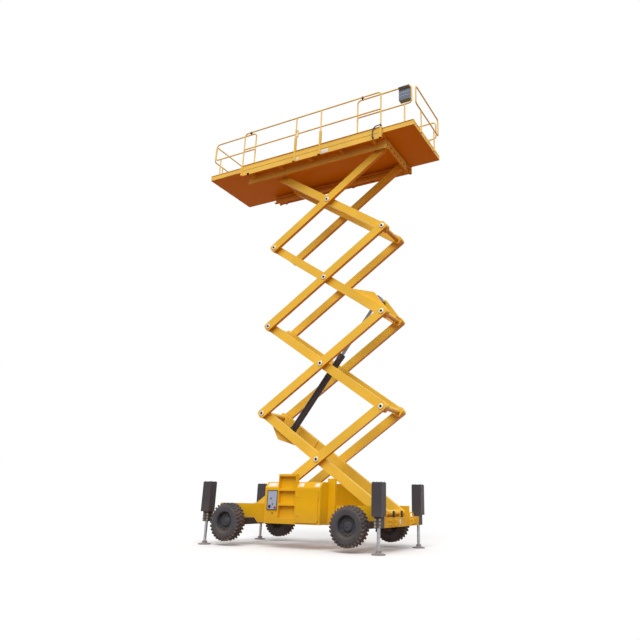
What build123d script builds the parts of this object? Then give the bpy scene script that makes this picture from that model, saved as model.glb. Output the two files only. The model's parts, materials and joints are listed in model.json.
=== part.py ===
from build123d import *
import math
import os

os.makedirs("parts", exist_ok=True)

# Rough-terrain scissor lift, millimetres, +Z up, standing on its four stabilisers at z = 0.
# +X is the steered end with the fixed scissor pivots, -Y is the side with the steps.

# Running fits
FIT = 0.3
PIN_PLAY = 1

# Wheels and axles
TYRE_D = 775
TYRE_W = 264
RIM_D = 430
TREAD_H = 24
SHOULDER_DROP = 46
SHOULDER_IN = 38
TYRE_SIDES = 45
LUGS = 15
LUG_LEN_Y = 138
LUG_T_Z = 38
LUG_SLANT = math.radians(28)
LUG_OFF = 60
LUG_STAGGER = 0.25
RIM_SHELL = 20
RIM_EDGE = 25
DISC_OUT = 35
DISC_T = 14
HUB_R = 78
HUB_OUT = 40
TRACK_Y = 1005
AXLE_R_X = -1345
WHEELBASE = 3000
WHEEL_LIFT = 90
AXLE_BEAM = 140
SEAT_X = 220
SEAT_Y = 90
SPINDLE_R = 40
SPINDLE_OUT = 20
SPINDLE_IN = 30
KINGPIN_IN = 150
KINGPIN_R = 20
KNUCKLE_R = 55
KNUCKLE_GAP = 6
YOKE_H = 130
YOKE_T = 40
YOKE_X = 120
AXLE_F_X = AXLE_R_X + WHEELBASE
AXLE_Z = WHEEL_LIFT + TYRE_D / 2
KINGPIN_Y = TRACK_Y - KINGPIN_IN
SPINDLE_END = TRACK_Y + SPINDLE_OUT

# Stabilisers
LEG_GAP_R = 143.5
LEG_GAP_L = 85.5
LEG_Y = 1007
CASE_X = 220
CASE_Y = 200
CASE_H = 622
CASE_WALL = 10
CASE_UP = 29
GLAND_R = 68
CLAMP_X = 150
CLAMP_WALL = 20
ROD_D = 66
ROD_TOP = 40
FOOT_D = 270
FOOT_H = 75
FOOT_EDGE = 18
FOOT_CLEAR = 5
LEG_X_R = AXLE_F_X + TYRE_D / 2 + LEG_GAP_R + CASE_X / 2
LEG_X_L = AXLE_R_X - TYRE_D / 2 - LEG_GAP_L - CASE_X / 2

# Chassis heights, built up from the axles
AXLE_GAP = 24.5
RAIL_DROP = 102
BEAM_DROP = 104
BEAM_H = 175
BEAM_T = 120
PIVOT_UP = 150
RAIL_ARCH = AXLE_Z + AXLE_BEAM / 2 + AXLE_GAP
RAIL_LOW = RAIL_ARCH - RAIL_DROP
BEAM_Z = RAIL_ARCH - BEAM_DROP
PIVOT_Z = RAIL_ARCH + PIVOT_UP
CASE_Z0 = BEAM_Z + BEAM_H + CASE_UP
CASE_Z1 = CASE_Z0 + CASE_H
LEG_STROKE = BEAM_Z - FOOT_H - FOOT_CLEAR

# Scissor linkage
ARM_L = 3750
ARM_DEPTH = 200
ARM_W = 90
ARM_WALL = 8
ARM_END = 100
ARM_ROUND = 60
REST_ANGLE = 34.39
STAGES = 4
PIVOT_IN = 128
INNER_Y = 345
ARM_GAP = 20
PIN_R = 30
PIN_SINK = 5
BOSS_R = 62
WASHER_R = 64
WASHER_T = 10
WASHER_GAP = 2
CROSS_R = 57
CROSS_WALL = 8
ROLLER_R = 60
ROLLER_W = 58
ROLLER_OUT = 17
ROLLER_GAP = 3
PIVOT_LUG_T = 30
PIVOT_LUG_R = 70
PIVOT_LUG_GAP = 8
PIVOT_LUG_X = 240
PIVOT_LUG_Z = 80
RAIL_X0 = LEG_X_L + BEAM_T / 2
RAIL_X1 = LEG_X_R - BEAM_T / 2
PIVOT_X = RAIL_X1 - PIVOT_IN
INNER_Y1 = INNER_Y + ARM_W
OUTER_Y = INNER_Y1 + ARM_GAP
OUTER_Y1 = OUTER_Y + ARM_W
ROLLER_Y = OUTER_Y1 + ROLLER_OUT
PIVOT_LUG_Y = INNER_Y1 + PIVOT_LUG_GAP
REST = math.radians(REST_ANGLE)
STAGE_H = ARM_L * math.sin(REST)
SLIDE_X = PIVOT_X - ARM_L * math.cos(REST)
DECK_Z = PIVOT_Z + STAGES * STAGE_H

# Lift cylinder, from the first inner frame to the third
FOOT_ALONG = 640
FOOT_DROP = 195
FOOT_LUG_BACK = 400
FOOT_LUG_AHEAD = 560
HEAD_ALONG = 545
HEAD_RISE = 211
HEAD_LUG_BACK = 660
HEAD_LUG_AHEAD = 470
LUG_T = 22
LUG_R = 80
LUG_PAD = 5
FOOT_TUBE_R = 45
BARREL_R = 78
BARREL_LEN = 2330
BARREL_END = 60
NECK_T = 6
NECK_LEN = 120
ROD_R = 37.5
ROD_LEN = 2460
EYE_R = 80
EYE_W = 160
HEAD_PIN_R = 40
HEAD_PIN_GAP = 6

# Chassis rails and beams
RAIL_WALL = 12
RAIL_LIP = 4
RAIL_LAP = 2
RAIL_OVER = 73
ROLLER_SIDE = 23
ROLLER_TOP = 16
ARCH_X = 430
ARCH_RAMP = 110
FLANGE_CUT = 330
CROSS_X = 160
CROSS_H = 80
PIVOT_CROSS_H = 120
CROSS_BACK = -150
CROSS_MID = 900
CROSS_IN = 20
TIE_Y = 380
TIE_OUT = 50
TIE_R = 28
TIE_T = 24
TIE_WALL = 25
TIE_ROOT = 150
TIE_WELD = 8
RAIL_Y = ROLLER_Y - RAIL_LAP
RAIL_Y1 = ROLLER_Y + ROLLER_W + ROLLER_SIDE + RAIL_WALL
RAIL_TOP = PIVOT_Z + ROLLER_R + RAIL_OVER
RAIL_MID = PIVOT_Z - ROLLER_R - ROLLER_GAP

# Side housings
HOUSE_BACK = 582.5
HOUSE_FRONT = 267.5
FAR_FRONT = 117.5
HOUSE_W = 395
HOUSE_UP = 10
HOUSE_H = 820
HOUSE_CHAMFER = 120
HOUSE_WALL = 25
HOUSE_ROUND = 30
SLAB_OUT = 155
SLAB_LAP = 25
SLAB_T = 65
SLAB_UP = 75
STEP_FROM = 0.251
STEP_TO = 0.571
STEP_RISE = 155
STEP_BODY = 110
STEP_DEEP = 85
STEP_FRAME = 15
STEP_LEDGE = 45
STEP_FOOT = 60
STEPS = 3
COVER_EDGE = 40
COVER_LOW = 30
COVER_T = 22
COVER_IN = 30
COVER_ROUND = 30
COVER_STEP = 20
HATCH_DEEP = 150
HINGE_R = 9
HINGE_LEN = 60
HINGE_PIN_R = 4
HINGE_OUT = 12
HINGE_LEAF = 8
HINGE_INSET = 110
PANEL_FROM = 0.062
PANEL_TO = 0.247
PANEL_H = 390
PANEL_UP = 262
PANEL_T = 12
ENGINE_FROM = 0.15
ENGINE_TO = 0.69
ENGINE_Y = 225
ENGINE_H = 560
ENGINE_SIDE = 35
HOUSE_X0 = AXLE_R_X + TYRE_D / 2 + HOUSE_BACK
HOUSE_X1 = AXLE_F_X - TYRE_D / 2 - HOUSE_FRONT
FAR_X1 = AXLE_F_X - TYRE_D / 2 - FAR_FRONT
HOUSE_Y1 = RAIL_Y1 + HOUSE_W
HOUSE_Z0 = RAIL_LOW + HOUSE_UP
HOUSE_Z1 = HOUSE_Z0 + HOUSE_H
HOUSE_L = HOUSE_X1 - HOUSE_X0
STEP_X0 = HOUSE_X0 + STEP_FROM * HOUSE_L
STEP_X1 = HOUSE_X0 + STEP_TO * HOUSE_L
STEP_TOP = HOUSE_Z1 + STEP_RISE
STEP_PITCH = (STEP_TOP - HOUSE_Z0 - STEP_LEDGE - STEP_FOOT) / STEPS
PANEL_X0 = HOUSE_X0 + PANEL_FROM * HOUSE_L
PANEL_X1 = HOUSE_X0 + PANEL_TO * HOUSE_L
COVER_X0 = STEP_X1 + COVER_STEP
COVER_X1 = HOUSE_X1 - COVER_EDGE
COVER_Z0 = HOUSE_Z0 + COVER_LOW
COVER_Z1 = HOUSE_Z1 - HOUSE_CHAMFER - COVER_LOW
ENGINE_X0 = HOUSE_X0 + COVER_EDGE
ENGINE_X1 = FAR_X1 - COVER_EDGE

# Platform, placed from the scissor's upper pivots
DECK_OUT = 178
DECK_L = 4271
SKIRT_Y = 945
SKIRT_LOW = 40
SKIRT_H = 345
SKIRT_LIP = 40
SKIRT_T = 8
SKIRT_FOLD = 7
SKIRT_OUT = 20
FLOOR_TOP = 177
FLOOR_T = 20
CHANNEL_IN = 60
CHANNEL_CUT = 180
GUSSET_X = 150
GUSSET_T = 20
RIB_X = 40
RIB_IN = 300
RIBS = 5
END_T = 45
END_LOW = 60
END_HOLE_R = 38
END_HOLES = 5
END_PITCH = 200
END_HOLE_UP = 25
EXT_UP = 200
EXT_T = 22
EXT_Y = 885
EXT_L_OUT = 1118
EXT_R_OUT = 817
EXT_L_LAP = 404
EXT_R_LAP = 785
TOE_T = 15
TOE_DROP = 5
TOE_LIP = 14
TOE_LIP_T = 8
TOE_SLOTS = 6
TOE_SLOT_Y = 90
TOE_SLOT_Z = 34
RUNNER_IN = 105
RUNNER_W = 50
RUNNER_END = 20
DECK_X1 = PIVOT_X + DECK_OUT
DECK_X0 = DECK_X1 - DECK_L
EXT_L_END = DECK_X0 - EXT_L_OUT
EXT_R_END = DECK_X1 + EXT_R_OUT
RUNNER_Y = EXT_Y - RUNNER_IN

# Guard rails
RAIL_R = 19
RAIL_BEND = 90
TOP_RAIL = 1380
MID_RAIL = 870
POST_IN = 28
POST_SET = 5
SOCKET_X = 52
SOCKET_Y = 55
SOCKET_OUT = 25
SOCKET_GAP = 5
GATE_IN = 1748
GATE_W = 768
GATE_R = 16
GATE_CLEAR = 8
GATE_DROP = 95
GATE_OUT = 62
GATE_SLEEVE = 35
GATE_SLEEVE_R = 27
EXT_POST_IN = 37
EXT_POST_BACK = 60
EXT_POST_END = 60
END_HOOP_OUT = 22
END_HOOP_Y = 780
END_BEND = 60
END_PAD_Y = 50
SHORT_POST = 250
END_POST_Y = 450
END_POST_R = 0.9 * RAIL_R
POST_Y = SKIRT_Y - POST_SET
EXT_POST_Y = EXT_Y - EXT_POST_IN
GATE_X0 = DECK_X0 + GATE_IN
GATE_X1 = GATE_X0 + GATE_W
SOCKET_TOP = MID_RAIL - GATE_DROP - GATE_SLEEVE - SOCKET_GAP

# Control box on the right deck's rail
BOX_END = 105
BOX_X = 305
BOX_DROP = 339
BOX_RISE = 10
BOX_T = 140
HOOK_T = 8
HOOK_IN = 40
HOOK_Y = 30
BOX_X1 = EXT_R_END - BOX_END
BOX_X0 = BOX_X1 - BOX_X
BOX_Z0 = TOP_RAIL - BOX_DROP
BOX_Z1 = TOP_RAIL + RAIL_R + HOOK_T + BOX_RISE


def block(x0, x1, y0, y1, z0, z1):
    return Pos((x0 + x1) / 2, (y0 + y1) / 2, (z0 + z1) / 2) * Box(x1 - x0, y1 - y0, z1 - z0)


def across(radius, x, z, y0, y1):
    return Pos(x, (y0 + y1) / 2, z) * Rot(90, 0, 0) * Cylinder(radius, y1 - y0)


def upright(radius, x, y, z0, z1):
    return Pos(x, y, (z0 + z1) / 2) * Cylinder(radius, z1 - z0)


def along(radius, x0, x1, y, z):
    return Pos((x0 + x1) / 2, y, z) * Rot(0, 90, 0) * Cylinder(radius, x1 - x0)


def side_plate(sketch, y0, y1):
    return extrude(Plane.XZ.offset(-y1) * sketch, amount=y1 - y0)


def outline(points):
    return make_face(Polyline(*points, close=True).edges())


def turned(points):
    return revolve(Plane.XZ * outline(points), Axis.Z)


def both(shape):
    return [shape, mirror(shape, about=Plane.XZ)]


def fuse(shapes):
    whole = shapes[0]
    for shape in shapes[1:]:
        whole = whole + shape
    return whole


def save(name, shapes):
    solids = []
    for shape in shapes:
        solids.extend(shape.solids())
    body = solids[0] if len(solids) == 1 else Compound(children=solids)
    body.label = name
    export_step(body, f"parts/{name}.step")


# Scissor arms: rectangular tubes, solid round the pin bosses at the ends and in the middle
def arm(y0, y1):
    skin = Pos(ARM_L / 2, 0) * RectangleRounded(ARM_L + 2 * ARM_END, ARM_DEPTH, ARM_ROUND)
    tube = side_plate(skin, y0, y1)
    deep = ARM_DEPTH / 2 - ARM_WALL
    for start in (0, ARM_L / 2):
        x0, x1 = start + BOSS_R, start + ARM_L / 2 - BOSS_R
        tube = tube - block(x0, x1, y0 + ARM_WALL, y1 - ARM_WALL, -deep, deep)
    return tube


# A long lug plate on the inside of an inner arm, its eye standing off the arm's middle line
def lug_plate(x, z, back, ahead):
    middle = x + (ahead - back) / 2
    foot = Pos(middle, 0) * Rectangle(back + ahead, 2 * ARM_WALL)
    eye = Pos(x, z) * Circle(LUG_R)
    inside = INNER_Y - LUG_PAD - LUG_T
    plate = side_plate(make_hull(foot.edges() + eye.edges()), inside, INNER_Y - LUG_PAD)
    pad = side_plate(Pos(middle, 0) * Rectangle(back + ahead, ARM_DEPTH - 2 * ARM_WALL), inside, INNER_Y)
    return plate + pad


def inner_frame(stage):
    pieces = [arm(INNER_Y, INNER_Y1)]
    washer = OUTER_Y1 + WASHER_GAP
    for x in (0, ARM_L / 2, ARM_L):
        reach = washer + WASHER_T
        if stage == 1 and x == ARM_L:
            reach = PIVOT_LUG_Y + PIVOT_LUG_T
        elif stage == STAGES and x == 0:
            reach = ROLLER_Y + ROLLER_W
            pieces.append(across(ROLLER_R, x, 0, ROLLER_Y, reach))
        else:
            pieces.append(across(WASHER_R, x, 0, washer, reach))
        pieces.append(across(PIN_R, x, 0, INNER_Y1 - PIN_SINK, reach))
    if stage == 1:
        pieces.append(lug_plate(FOOT_ALONG, -FOOT_DROP, FOOT_LUG_BACK, FOOT_LUG_AHEAD))
    if stage == 3:
        pieces.append(lug_plate(ARM_L - HEAD_ALONG, HEAD_RISE, HEAD_LUG_BACK, HEAD_LUG_AHEAD))
    frame = fuse(both(fuse(pieces)))
    for x in (0, ARM_L):
        tie = across(CROSS_R, x, 0, -INNER_Y, INNER_Y)
        frame = frame + (tie - across(CROSS_R - CROSS_WALL, x, 0, -INNER_Y, INNER_Y))
    if stage == 1:
        tube_y = INNER_Y - LUG_PAD
        frame = frame + across(FOOT_TUBE_R, FOOT_ALONG, -FOOT_DROP, -tube_y, tube_y)
    return Pos(SLIDE_X, 0, PIVOT_Z + stage * STAGE_H) * Rot(0, REST_ANGLE, 0) * frame


def outer_pair(stage):
    tube = arm(OUTER_Y, OUTER_Y1)
    for x in (0, ARM_L / 2, ARM_L):
        if stage == 1 and x == 0:
            axle = across(PIN_R, x, 0, OUTER_Y1 - PIN_SINK, ROLLER_Y + ROLLER_W)
            roller = across(ROLLER_R, x, 0, ROLLER_Y, ROLLER_Y + ROLLER_W)
            tube = fuse([tube, axle, roller])
        else:
            tube = tube - across(PIN_R + PIN_PLAY, x, 0, OUTER_Y, OUTER_Y1)
    place = Pos(SLIDE_X, 0, PIVOT_Z + (stage - 1) * STAGE_H) * Rot(0, -REST_ANGLE, 0)
    return [place * shape for shape in both(tube)]


for stage in range(1, STAGES + 1):
    save(f"inner_frame_{stage}", [inner_frame(stage)])
    save(f"outer_arms_{stage}", outer_pair(stage))


# Lift cylinder: barrel on the first frame's cross tube, rod towards the third frame's lugs
def on_inner(stage, x, z):
    c, s = math.cos(REST), math.sin(REST)
    return (SLIDE_X + x * c + z * s, PIVOT_Z + stage * STAGE_H - x * s + z * c)


FOOT_PIN = on_inner(1, FOOT_ALONG, -FOOT_DROP)
HEAD_PIN = on_inner(3, ARM_L - HEAD_ALONG, HEAD_RISE)
CYL_LEN = math.dist(FOOT_PIN, HEAD_PIN)
CYL_ANGLE = math.degrees(math.atan2(HEAD_PIN[1] - FOOT_PIN[1], HEAD_PIN[0] - FOOT_PIN[0]))
CYL_PLACE = Pos(FOOT_PIN[0], 0, FOOT_PIN[1]) * Rot(0, -CYL_ANGLE, 0)


def barrel():
    body = across(EYE_R, 0, 0, -EYE_W / 2, EYE_W / 2) + along(BARREL_R, 0, BARREL_LEN, 0, 0)
    body = body + along(BARREL_R + NECK_T, BARREL_LEN - NECK_LEN, BARREL_LEN, 0, 0)
    body = body - across(FOOT_TUBE_R + PIN_PLAY, 0, 0, -EYE_W / 2, EYE_W / 2)
    return CYL_PLACE * (body - along(ROD_R + PIN_PLAY, EYE_R + BARREL_END, BARREL_LEN, 0, 0))


def rod():
    body = along(ROD_R, CYL_LEN - ROD_LEN, CYL_LEN, 0, 0)
    body = body + across(EYE_R, CYL_LEN, 0, -EYE_W / 2, EYE_W / 2)
    pin_y = INNER_Y - LUG_PAD - LUG_T - HEAD_PIN_GAP
    return CYL_PLACE * (body + across(HEAD_PIN_R, CYL_LEN, 0, -pin_y, pin_y))


save("cylinder_barrel", [barrel()])
save("cylinder_rod", [rod()])


# Chassis: two side rails arched over the axles, a roller channel on top, cross members and pivot lugs
def side_rail():
    lower = outline([
        (RAIL_X0, RAIL_MID),
        (RAIL_X0, RAIL_ARCH),
        (AXLE_R_X + ARCH_X, RAIL_ARCH),
        (AXLE_R_X + ARCH_X + ARCH_RAMP, RAIL_LOW),
        (AXLE_F_X - ARCH_X - ARCH_RAMP, RAIL_LOW),
        (AXLE_F_X - ARCH_X, RAIL_ARCH),
        (RAIL_X1, RAIL_ARCH),
        (RAIL_X1, RAIL_MID),
    ])
    beam = side_plate(lower, RAIL_Y, RAIL_Y1)
    web = block(RAIL_X0, RAIL_X1, RAIL_Y1 - RAIL_WALL, RAIL_Y1, RAIL_MID, RAIL_TOP)
    flange = block(RAIL_X0, RAIL_X1 - FLANGE_CUT, RAIL_Y + RAIL_LIP, RAIL_Y1, RAIL_TOP - RAIL_WALL, RAIL_TOP)
    return fuse([beam, web, flange])


def pivot_lug():
    eye = Pos(PIVOT_X, PIVOT_Z) * Circle(PIVOT_LUG_R)
    foot = Pos(PIVOT_X, BEAM_Z + PIVOT_LUG_Z / 2) * Rectangle(PIVOT_LUG_X, PIVOT_LUG_Z)
    y0, y1 = PIVOT_LUG_Y, PIVOT_LUG_Y + PIVOT_LUG_T
    plate = side_plate(make_hull(eye.edges() + foot.edges()), y0, y1)
    return plate - across(PIN_R + PIN_PLAY, PIVOT_X, PIVOT_Z, y0, y1)


def chassis():
    pieces = both(side_rail())
    reach = RAIL_Y + CROSS_IN
    for x in (PIVOT_X, CROSS_BACK, CROSS_MID):
        tall = PIVOT_CROSS_H if x == PIVOT_X else CROSS_H
        pieces.append(block(x - CROSS_X / 2, x + CROSS_X / 2, -reach, reach, RAIL_LOW, RAIL_LOW + tall))
    return fuse(pieces + both(pivot_lug()))


def tie_down(x, out, y):
    z = BEAM_Z + BEAM_H / 2
    ring = Pos(x + out * TIE_OUT, z) * Circle(TIE_R + TIE_WALL)
    root = Pos(x, z) * Rectangle(TIE_WELD, TIE_ROOT)
    lug = side_plate(make_hull(ring.edges() + root.edges()), y - TIE_T / 2, y + TIE_T / 2)
    return lug - across(TIE_R, x + out * TIE_OUT, z, y - TIE_T, y + TIE_T)


def end_beam(x0, out):
    reach = LEG_Y - CASE_Y / 2
    x1 = x0 + out * BEAM_T
    beam = block(min(x0, x1), max(x0, x1), -reach, reach, BEAM_Z, BEAM_Z + BEAM_H)
    return fuse([beam, tie_down(x1, out, -TIE_Y), tie_down(x1, out, TIE_Y)])


save("chassis_frame", [chassis()])
save("end_beams", [end_beam(RAIL_X1, 1), end_beam(RAIL_X0, -1)])


# Axles: a rear beam with fixed spindles and a front beam with yokes for the steering knuckles
def axle(x, reach):
    half = AXLE_BEAM / 2
    beam = block(x - half, x + half, -reach, reach, AXLE_Z - half, AXLE_Z + half)
    middle = (RAIL_Y + RAIL_Y1) / 2
    seat = block(
        x - SEAT_X / 2, x + SEAT_X / 2, middle - SEAT_Y / 2, middle + SEAT_Y / 2, AXLE_Z, RAIL_ARCH
    )
    return fuse([beam] + both(seat))


def rear_axle():
    inside = TRACK_Y - TYRE_W / 2 - SPINDLE_IN
    spindle = across(SPINDLE_R, AXLE_R_X, AXLE_Z, inside - SPINDLE_R, SPINDLE_END)
    return fuse([axle(AXLE_R_X, inside)] + both(spindle))


def front_axle():
    inside = KINGPIN_Y - KNUCKLE_R - YOKE_T / 2
    x0, x1 = AXLE_F_X - YOKE_X / 2, AXLE_F_X + YOKE_X / 2
    cheek = block(x0, x1, inside - YOKE_T, inside, AXLE_Z - YOKE_H, AXLE_Z + YOKE_H)
    yoke = [cheek]
    for z in (AXLE_Z + YOKE_H, AXLE_Z - YOKE_H):
        yoke.append(block(x0, x1, inside - YOKE_T, KINGPIN_Y + KNUCKLE_R, z - YOKE_T / 2, z + YOKE_T / 2))
    bore = upright(KINGPIN_R + FIT, AXLE_F_X, KINGPIN_Y, AXLE_Z - YOKE_H - YOKE_T, AXLE_Z + YOKE_H + YOKE_T)
    return fuse([axle(AXLE_F_X, inside - YOKE_T / 2)] + both(fuse(yoke) - bore))


def knuckle(side):
    tall = YOKE_H - YOKE_T / 2 - KNUCKLE_GAP
    y = side * KINGPIN_Y
    ends = sorted((y, side * SPINDLE_END))
    body = upright(KNUCKLE_R, AXLE_F_X, y, AXLE_Z - tall, AXLE_Z + tall)
    body = body + upright(KINGPIN_R, AXLE_F_X, y, AXLE_Z - YOKE_H - YOKE_T / 2, AXLE_Z + YOKE_H + YOKE_T / 2)
    return body + across(SPINDLE_R, AXLE_F_X, AXLE_Z, ends[0], ends[1])


save("axles", [rear_axle(), front_axle()])
save("knuckle_near", [knuckle(-1)])
save("knuckle_far", [knuckle(1)])


# Tyre: a many-sided carcass with chamfered shoulders, and slanted lugs that run down over the shoulders
def tyre(x, side):
    half = TYRE_W / 2
    base = TYRE_D / 2 - TREAD_H
    tread = Pos(0, 0, SHOULDER_IN - half) * RegularPolygon(base, TYRE_SIDES)
    carcass = extrude(tread, amount=TYRE_W - 2 * SHOULDER_IN)
    lean = math.degrees(math.atan2(SHOULDER_DROP, SHOULDER_IN))
    shoulder = extrude(
        Pos(0, 0, half - SHOULDER_IN) * RegularPolygon(base, TYRE_SIDES), amount=SHOULDER_IN, taper=lean
    )
    carcass = carcass + shoulder + mirror(shoulder, about=Plane.XY)
    reach = (LUG_LEN_Y * math.sin(LUG_SLANT) + LUG_T_Z * math.cos(LUG_SLANT)) / 2
    top = math.sqrt((TYRE_D / 2) ** 2 - reach**2)
    root = base - SHOULDER_DROP
    lug = Pos((root + top) / 2, 0, 0) * Box(top - root, LUG_LEN_Y, LUG_T_Z)
    lugs = []
    for i in range(LUGS):
        for hand in (-1, 1):
            turn = Rot(0, 0, 360 / LUGS * (i + LUG_STAGGER * hand))
            slant = Rot(90 + hand * math.degrees(LUG_SLANT), 0, 0)
            lugs.append(turn * Pos(0, 0, hand * LUG_OFF) * slant * lug)
    hole = extrude(RegularPolygon(RIM_D / 2 + FIT, TYRE_SIDES, major_radius=False), amount=half, both=True)
    return Pos(x, side * TRACK_Y, AXLE_Z) * Rot(90, 0, 0) * (carcass.fuse(*lugs) - hole)


# Rim: a dished disc in a drum, with the hub standing out of the middle
def rim(x, side):
    half = TYRE_W / 2 - RIM_EDGE
    drum = RIM_D / 2 - RIM_SHELL
    bore = SPINDLE_R + PIN_PLAY
    dish = turned([
        (bore, DISC_OUT - DISC_T - HUB_OUT),
        (HUB_R, DISC_OUT - DISC_T - HUB_OUT),
        (HUB_R + HUB_OUT, DISC_OUT - DISC_T),
        (drum, DISC_OUT - DISC_T),
        (drum, -half),
        (RIM_D / 2, -half),
        (RIM_D / 2, half),
        (drum, DISC_OUT),
        (HUB_R + HUB_OUT, DISC_OUT),
        (HUB_R, DISC_OUT + HUB_OUT),
        (0, DISC_OUT + HUB_OUT),
        (0, SPINDLE_OUT + PIN_PLAY),
        (bore, SPINDLE_OUT + PIN_PLAY),
    ])
    return Pos(x, side * TRACK_Y, AXLE_Z) * Rot(-90 * side, 0, 0) * dish


for end, x in (("front", AXLE_F_X), ("rear", AXLE_R_X)):
    for hand, side in (("near", -1), ("far", 1)):
        save(f"tyre_{end}_{hand}", [tyre(x, side)])
        save(f"rim_{end}_{hand}", [rim(x, side)])


# Stabilisers: cases clamped to the ends of the end beams, chrome legs and round feet
def leg_case(x, y):
    side = math.copysign(1, y)
    x0, x1 = x - CASE_X / 2, x + CASE_X / 2
    y0, y1 = y - CASE_Y / 2, y + CASE_Y / 2
    w = CASE_WALL
    shell = block(x0, x1, y0, y1, CASE_Z0, CASE_Z1)
    shell = shell - block(x0 + w, x1 - w, y0 + w, y1 - w, CASE_Z0 + w, CASE_Z1 - w)
    gland = upright(GLAND_R, x, y, CASE_Z0, CASE_Z1 - w)
    c0, c1 = sorted((y - side * CASE_Y / 2, y + side * (ROD_D / 2 + CLAMP_WALL)))
    clamp = block(x - CLAMP_X / 2, x + CLAMP_X / 2, c0, c1, BEAM_Z, CASE_Z0)
    return fuse([shell, gland, clamp]) - upright(ROD_D / 2 + PIN_PLAY, x, y, BEAM_Z, CASE_Z1 - 2 * w)


def leg_rod(x, y):
    return upright(ROD_D / 2, x, y, FOOT_H, CASE_Z1 - ROD_TOP - LEG_STROKE)


def leg_foot(x, y):
    neck = ROD_D / 2 + CLAMP_WALL
    return Pos(x, y, 0) * turned([
        (0, 0),
        (FOOT_D / 2, 0),
        (FOOT_D / 2, FOOT_EDGE),
        (neck, FOOT_H / 2),
        (neck, FOOT_H),
        (0, FOOT_H),
    ])


cases = []
for end, x in (("front", LEG_X_R), ("rear", LEG_X_L)):
    for hand, y in (("near", -LEG_Y), ("far", LEG_Y)):
        cases.append(leg_case(x, y))
        save(f"leg_{end}_{hand}", [leg_rod(x, y)])
        save(f"foot_{end}_{hand}", [leg_foot(x, y)])
save("stabiliser_cases", cases)


# Side housings: folded steel boxes between the wheels, sloped along the top outer edge
def housing_shell(x0, x1):
    section = outline([
        (RAIL_Y1, HOUSE_Z0),
        (HOUSE_Y1, HOUSE_Z0),
        (HOUSE_Y1, HOUSE_Z1 - HOUSE_CHAMFER),
        (HOUSE_Y1 - HOUSE_CHAMFER, HOUSE_Z1),
        (RAIL_Y1, HOUSE_Z1),
    ])
    outer = extrude(Plane.YZ.offset(x0) * section, amount=x1 - x0)
    outer = fillet(outer.edges().filter_by(Axis.Z).group_by(Axis.Y)[-1], HOUSE_ROUND)
    inner = block(
        x0 + HOUSE_WALL, x1 - HOUSE_WALL, RAIL_Y1 + HOUSE_WALL, HOUSE_Y1 - HOUSE_CHAMFER,
        HOUSE_Z0 + HOUSE_WALL, HOUSE_Z1 - HOUSE_WALL,
    )
    return outer - inner


def near_housing():
    shell = mirror(housing_shell(HOUSE_X0, HOUSE_X1), about=Plane.XZ)
    shell = shell + block(STEP_X0, STEP_X1, -HOUSE_Y1, -HOUSE_Y1 + STEP_BODY, HOUSE_Z0, STEP_TOP)
    shell = shell + block(
        HOUSE_X1 - SLAB_LAP, HOUSE_X1 + SLAB_OUT, -RAIL_Y1 - SLAB_T, -RAIL_Y1, HOUSE_Z0, HOUSE_Z1 + SLAB_UP
    )
    for i in range(STEPS):
        high = STEP_TOP - STEP_LEDGE - i * STEP_PITCH
        low = high - STEP_PITCH + STEP_LEDGE
        x0, x1 = STEP_X0 + STEP_FRAME, STEP_X1 - STEP_FRAME
        shell = shell - block(x0, x1, -HOUSE_Y1, -HOUSE_Y1 + STEP_DEEP, low, high)
    shell = shell - block(
        COVER_X0 + COVER_IN, COVER_X1 - COVER_IN, -HOUSE_Y1, -HOUSE_Y1 + HATCH_DEEP,
        COVER_Z0 + COVER_IN, COVER_Z1 - COVER_IN,
    )
    for z in hinge_spots(COVER_Z0, COVER_Z1):
        shell = shell + near_hinge(z + HINGE_LEN / 2 + PIN_PLAY, False)
    return shell


def far_housing():
    shell = housing_shell(HOUSE_X0, FAR_X1) - block(
        ENGINE_X0 + COVER_IN, ENGINE_X1 - COVER_IN, HOUSE_Y1 - HATCH_DEEP, HOUSE_Y1,
        COVER_Z0 + COVER_IN, COVER_Z1 - COVER_IN,
    )
    for x in hinge_spots(ENGINE_X0, ENGINE_X1):
        shell = shell + far_hinge(x + HINGE_LEN / 2 + PIN_PLAY, False)
    return shell


def hinge_spots(low, high):
    return (low + HINGE_INSET, high - HINGE_INSET)


# Half a hinge: the fixed half carries the pin, the moving half turns on it
def near_hinge(z, moving):
    x, y = COVER_X1 + HINGE_OUT, -HOUSE_Y1 - HINGE_OUT
    half, leaf_t = HINGE_LEN / 2, HINGE_LEAF / 2
    barrel_part = upright(HINGE_R, x, y, z - half, z + half)
    if moving:
        leaf = block(COVER_X1 - leaf_t, x, y - leaf_t, y + leaf_t, z - half, z + half)
        return barrel_part + leaf - upright(HINGE_PIN_R + FIT, x, y, z - half, z + half)
    leaf = block(x - leaf_t, x + leaf_t, y, -HOUSE_Y1, z - half, z + half)
    return barrel_part + leaf + upright(HINGE_PIN_R, x, y, z - half - HINGE_LEN, z + half)


def far_hinge(x, moving):
    y, z = HOUSE_Y1 + HINGE_OUT, COVER_Z1 + HINGE_OUT
    half, leaf_t = HINGE_LEN / 2, HINGE_LEAF / 2
    barrel_part = along(HINGE_R, x - half, x + half, y, z)
    if moving:
        leaf = block(x - half, x + half, y - leaf_t, y + leaf_t, COVER_Z1 - leaf_t, z)
        return barrel_part + leaf - along(HINGE_PIN_R + FIT, x - half, x + half, y, z)
    leaf = block(x - half, x + half, HOUSE_Y1, y, z - leaf_t, z + leaf_t)
    return barrel_part + leaf + along(HINGE_PIN_R, x - half - HINGE_LEN, x + half, y, z)


def cover_sheet(x0, x1, y0, y1):
    middle = Pos((x0 + x1) / 2, (COVER_Z0 + COVER_Z1) / 2)
    return side_plate(middle * RectangleRounded(x1 - x0, COVER_Z1 - COVER_Z0, COVER_ROUND), y0, y1)


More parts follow.
